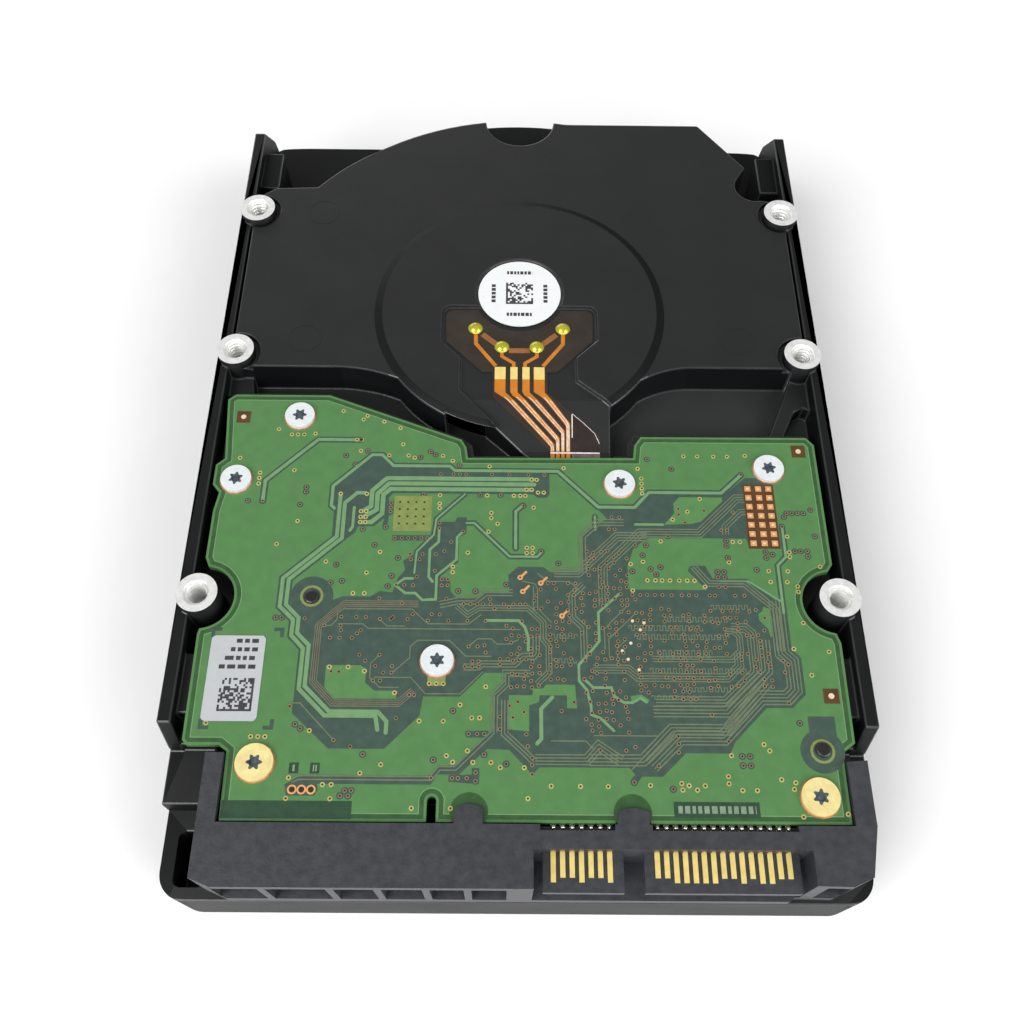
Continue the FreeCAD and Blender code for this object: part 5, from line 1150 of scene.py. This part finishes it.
# Places of the casting's coats in its list of materials: the black coat, bare alloy, a darker coat
# that is painted shade, the rail coat, a lighter coat that is a painted highlight on rounded
# edges, and a lighter coat that is painted light on a low floor.
COAT, BARE_ALLOY, WALL_PAINTED_SHADE, RAIL, EDGE, FLOOR_PAINTED_LIGHT = range(6)
BARE_FACE_RADIUS = 3.05
BARE_BORE_RADIUS = 2.05
BARE_BORE_DEPTH = 6.0
RAIL_FROM = 48.7
DISC_WALL_FROM, DISC_WALL_TO = 23.0, 25.6
COATED_ROUNDING = 0.25
WELD_DISTANCE = 0.001
FLAT_ANGLE = 0.5


def casting_coat_and_painted_light(centre, normal, holes):
    """Which coat a face of the casting takes, from its middle in mm and its direction; the darker
    coat on steep faces, the disc chamfer and the rear pockets is painted shade, and the lighter
    coat on the low right floor is painted light.
    """
    from_hole = min(math.dist((centre.x, centre.y), hole) for hole in holes)
    from_spindle = math.dist((centre.x, centre.y), (SPINDLE[0], SPINDLE[1]))
    if from_hole < BARE_FACE_RADIUS and centre.z > DRIVE_TOP - 0.02:
        return BARE_ALLOY
    if from_hole < BARE_BORE_RADIUS and centre.z > DRIVE_TOP - BARE_BORE_DEPTH:
        return BARE_ALLOY
    # Steep faces and the chamfer round the motor disc take the darker coat: painted shade, as if
    # light from above misses them.
    on_disc_wall = DISC_WALL_FROM < from_spindle < DISC_WALL_TO and normal.z < 0.95
    if abs(normal.z) < 0.3 or on_disc_wall:
        return WALL_PAINTED_SHADE
    if abs(centre.x) > RAIL_FROM and normal.z > 0.9:
        return RAIL
    # The low floor of the right pocket takes a lighter coat: painted light where the floor lies in
    # shade.
    if normal.z > 0.9 and 18.0 < centre.z < 19.2 and centre.x > 15.0 > abs(centre.y):
        return FLOOR_PAINTED_LIGHT
    # Low and sloped faces in the rear pockets take the darker coat as well: painted shade for
    # their deep insides.
    if centre.y > 45.0 and (centre.z < 24.0 or normal.z < 0.95):
        return WALL_PAINTED_SHADE
    return COAT


def finish_casting():
    """Black coat in several tones, bare alloy at the mounting holes, and rounded edges; the darker
    tone on walls and pockets is painted shade, and the lighter tones on the rounded edges and a
    low floor are a painted highlight and painted light.
    """
    casting = NODES["base_casting"]
    coat = surface("black_coat", (0.014, 0.0145, 0.0145), 0.42, variation=0.06, scale=120.0,
                   specular=0.4, bump=0.25, bump_scale=5000.0)
    bare = surface("bare_alloy", (0.86, 0.86, 0.84), 0.34, metallic=0.4, variation=0.1,
                   scale=1400.0, bump=0.2, bump_scale=4000.0)
    # Darker, duller coat for walls, the disc chamfer and the rear pockets: painted shade.
    wall_painted_shade = surface("black_coat_walls_painted_shade", (0.005, 0.0055, 0.006), 0.5, variation=0.1, scale=120.0,
                   specular=0.15, bump=0.25, bump_scale=5000.0)
    rail = surface("black_coat_rails", (0.007, 0.0075, 0.008), 0.4, variation=0.1, scale=120.0,
                   specular=0.25, bump=0.25, bump_scale=5000.0)
    # Lighter, glossier coat on the rounded edges: a painted highlight along them.
    edge = surface("black_coat_edges_painted_highlight", (0.026, 0.027, 0.028), 0.3, variation=0.15, scale=300.0,
                   specular=0.6, bump=0.2, bump_scale=5000.0)
    # Lighter coat for the low floor of the right pocket: painted light.
    low = surface("black_coat_floor_painted_light", (0.026, 0.027, 0.027), 0.45, variation=0.08, scale=120.0,
                  specular=0.4, bump=0.25, bump_scale=5000.0)
    mesh = casting.data
    mesh.materials.clear()
    for material in (coat, bare, wall_painted_shade, rail, edge, low):
        mesh.materials.append(material)
    holes = [(side * MOUNT_X, y) for y in MOUNT_Y for side in (-1, 1)]
    for face in mesh.polygons:
        face.material_index = casting_coat_and_painted_light(face.center / MM, face.normal, holes)
    coated_edges(mesh)
    weld = casting.modifiers.new("welded_faces", "WELD")
    weld.merge_threshold = WELD_DISTANCE * MM
    flat = casting.modifiers.new("flat_faces", "DECIMATE")
    flat.decimate_type = "DISSOLVE"
    flat.angle_limit = math.radians(FLAT_ANGLE)
    flat.delimit = {"MATERIAL"}
    bevel = casting.modifiers.new("coated_edge_rounding", "BEVEL")
    bevel.width = COATED_ROUNDING * MM
    bevel.segments = 2
    bevel.limit_method = "WEIGHT"
    # The new rounded faces take the lighter coat: a painted highlight on every rounded edge.
    bevel.material = EDGE
    bevel.loop_slide = False
    bevel.use_clamp_overlap = False


def finish_nodes():
    """One procedural finish for every other CAD node, by what it is made of."""
    steel = surface("turned_steel", (0.55, 0.55, 0.55), 0.3, metallic=1.0, scale=800.0)
    alloy = surface("machined_alloy", (0.72, 0.73, 0.74), 0.28, metallic=1.0, scale=700.0,
                    stretch=(1.0, 6.0, 1.0))
    mirror = surface("disk_mirror", (0.82, 0.82, 0.83), 0.05, metallic=1.0, variation=0.02,
                     scale=60.0)
    copper = surface("copper_wire", (0.72, 0.3, 0.12), 0.35, metallic=1.0, scale=1500.0,
                     stretch=(1.0, 1.0, 9.0), bump=0.4, bump_scale=2500.0)
    nickel = surface("nickel_plate", (0.66, 0.65, 0.62), 0.22, metallic=1.0, scale=500.0)
    moulded = surface("black_mould", (0.022, 0.022, 0.023), 0.5, scale=1200.0, bump=0.3)
    cream = surface("cream_mould", (0.75, 0.72, 0.64), 0.45, scale=500.0, bump=0.15)
    rubber = surface("black_rubber", (0.03, 0.03, 0.03), 0.75, scale=900.0, bump=0.4)
    foam = surface("black_foam", (0.016, 0.016, 0.017), 0.95, variation=0.6, scale=2500.0,
                   bump=1.0, bump_scale=2500.0)
    felt = surface("white_felt", (0.8, 0.8, 0.77), 0.9, variation=0.1, scale=3000.0, bump=0.8)
    paper = surface("label_paper", (0.46, 0.48, 0.49), 0.42, variation=0.02, scale=900.0,
                    bump=0.08)
    bright_paper = surface("motor_label_paper", (0.78, 0.8, 0.8), 0.42, variation=0.02,
                           scale=900.0, bump=0.08)
    cover = surface("cover_coat", (0.03, 0.03, 0.032), 0.38, variation=0.15, scale=300.0,
                    bump=0.2, bump_scale=4500.0)
    gold = surface("gold_plate", (0.98, 0.73, 0.24), 0.32, metallic=0.3, variation=0.1,
                   scale=900.0, coat=0.3)
    housing = surface("housing_mould", (0.033, 0.035, 0.041), 0.48, variation=0.25,
                      scale=900.0, bump=0.35, bump_scale=2600.0)
    kapton = surface("flex_film", (0.03, 0.022, 0.016), 0.25, variation=0.2, scale=300.0,
                     coat=0.3)
    solder = surface("solder_bead", (0.5, 0.47, 0.02), 0.2, metallic=0.3, variation=0.12,
                     scale=700.0, coat=0.7)
    laminate = surface("board_laminate", (0.08, 0.205, 0.066), 0.33, variation=0.07,
                       scale=500.0, coat=0.3)
    tan = surface("ceramic_body", (0.5, 0.36, 0.22), 0.5, scale=900.0)
    looks = {
        steel: ("spindle_shaft", "stator_core", "disk_clamp", "pivot_shaft", "pivot_cartridge",
                "head_suspensions", "lower_yoke", "upper_yoke", "yoke_posts", "latch_pin",
                "shaft_screws", "clamp_screws"),
        alloy: ("inner_cover", "spindle_hub", "disk_spacers", "actuator_block",
                "cable_bracket"),
        mirror: tuple("platter_%d" % (n + 1) for n in range(7)),
        copper: ("stator_windings", "voice_coil"),
        nickel: ("rotor_magnet", "lower_magnet", "upper_magnet"),
        moulded: ("controller_chip", "memory_chip", "motor_driver_chip", "flash_chip",
                  "board_inductors", "head_sliders", "head_connector"),
        cream: ("coil_frame", "latch_lever", "parking_ramp"),
        rubber: ("cover_gasket", "crash_stops"),
        foam: ("insulating_foam",),
        felt: ("breather_filter", "desiccant_pack"),
        paper: ("cover_label", "board_label"),
        bright_paper: ("motor_label",),
        cover: ("outer_cover",),
        gold: ("signal_contacts", "power_contacts"),
        housing: ("connector_housing",),
        kapton: ("motor_flex", "actuator_flex"),
        solder: ("motor_solder_joints",),
        laminate: ("circuit_board",),
        tan: ("board_capacitors",),
    }
    for material, names in looks.items():
        for name in names:
            give(name, material)


add_camera()
add_studio()
finish_casting()
finish_nodes()
zinc = surface("zinc_plate", (0.86, 0.9, 0.92), 0.34, metallic=0.3, variation=0.05,
               scale=900.0, coat=0.2, bump=0.1)
yellow = surface("yellow_zinc", (0.93, 0.78, 0.34), 0.34, metallic=0.3, variation=0.1,
                 scale=900.0, coat=0.2, bump=0.1)
give("white_board_screws", zinc)
give("gold_board_screws", yellow)
soften("base_casting", 0.15, angle=50.0)
soften("connector_housing", 0.2)
add_board_artwork()
add_screw_details(zinc, yellow)
add_thread_ridges()
add_solder_tails()
add_flat_cable_artwork()
add_label_print()
add_casting_marks()
add_foam_fringe()
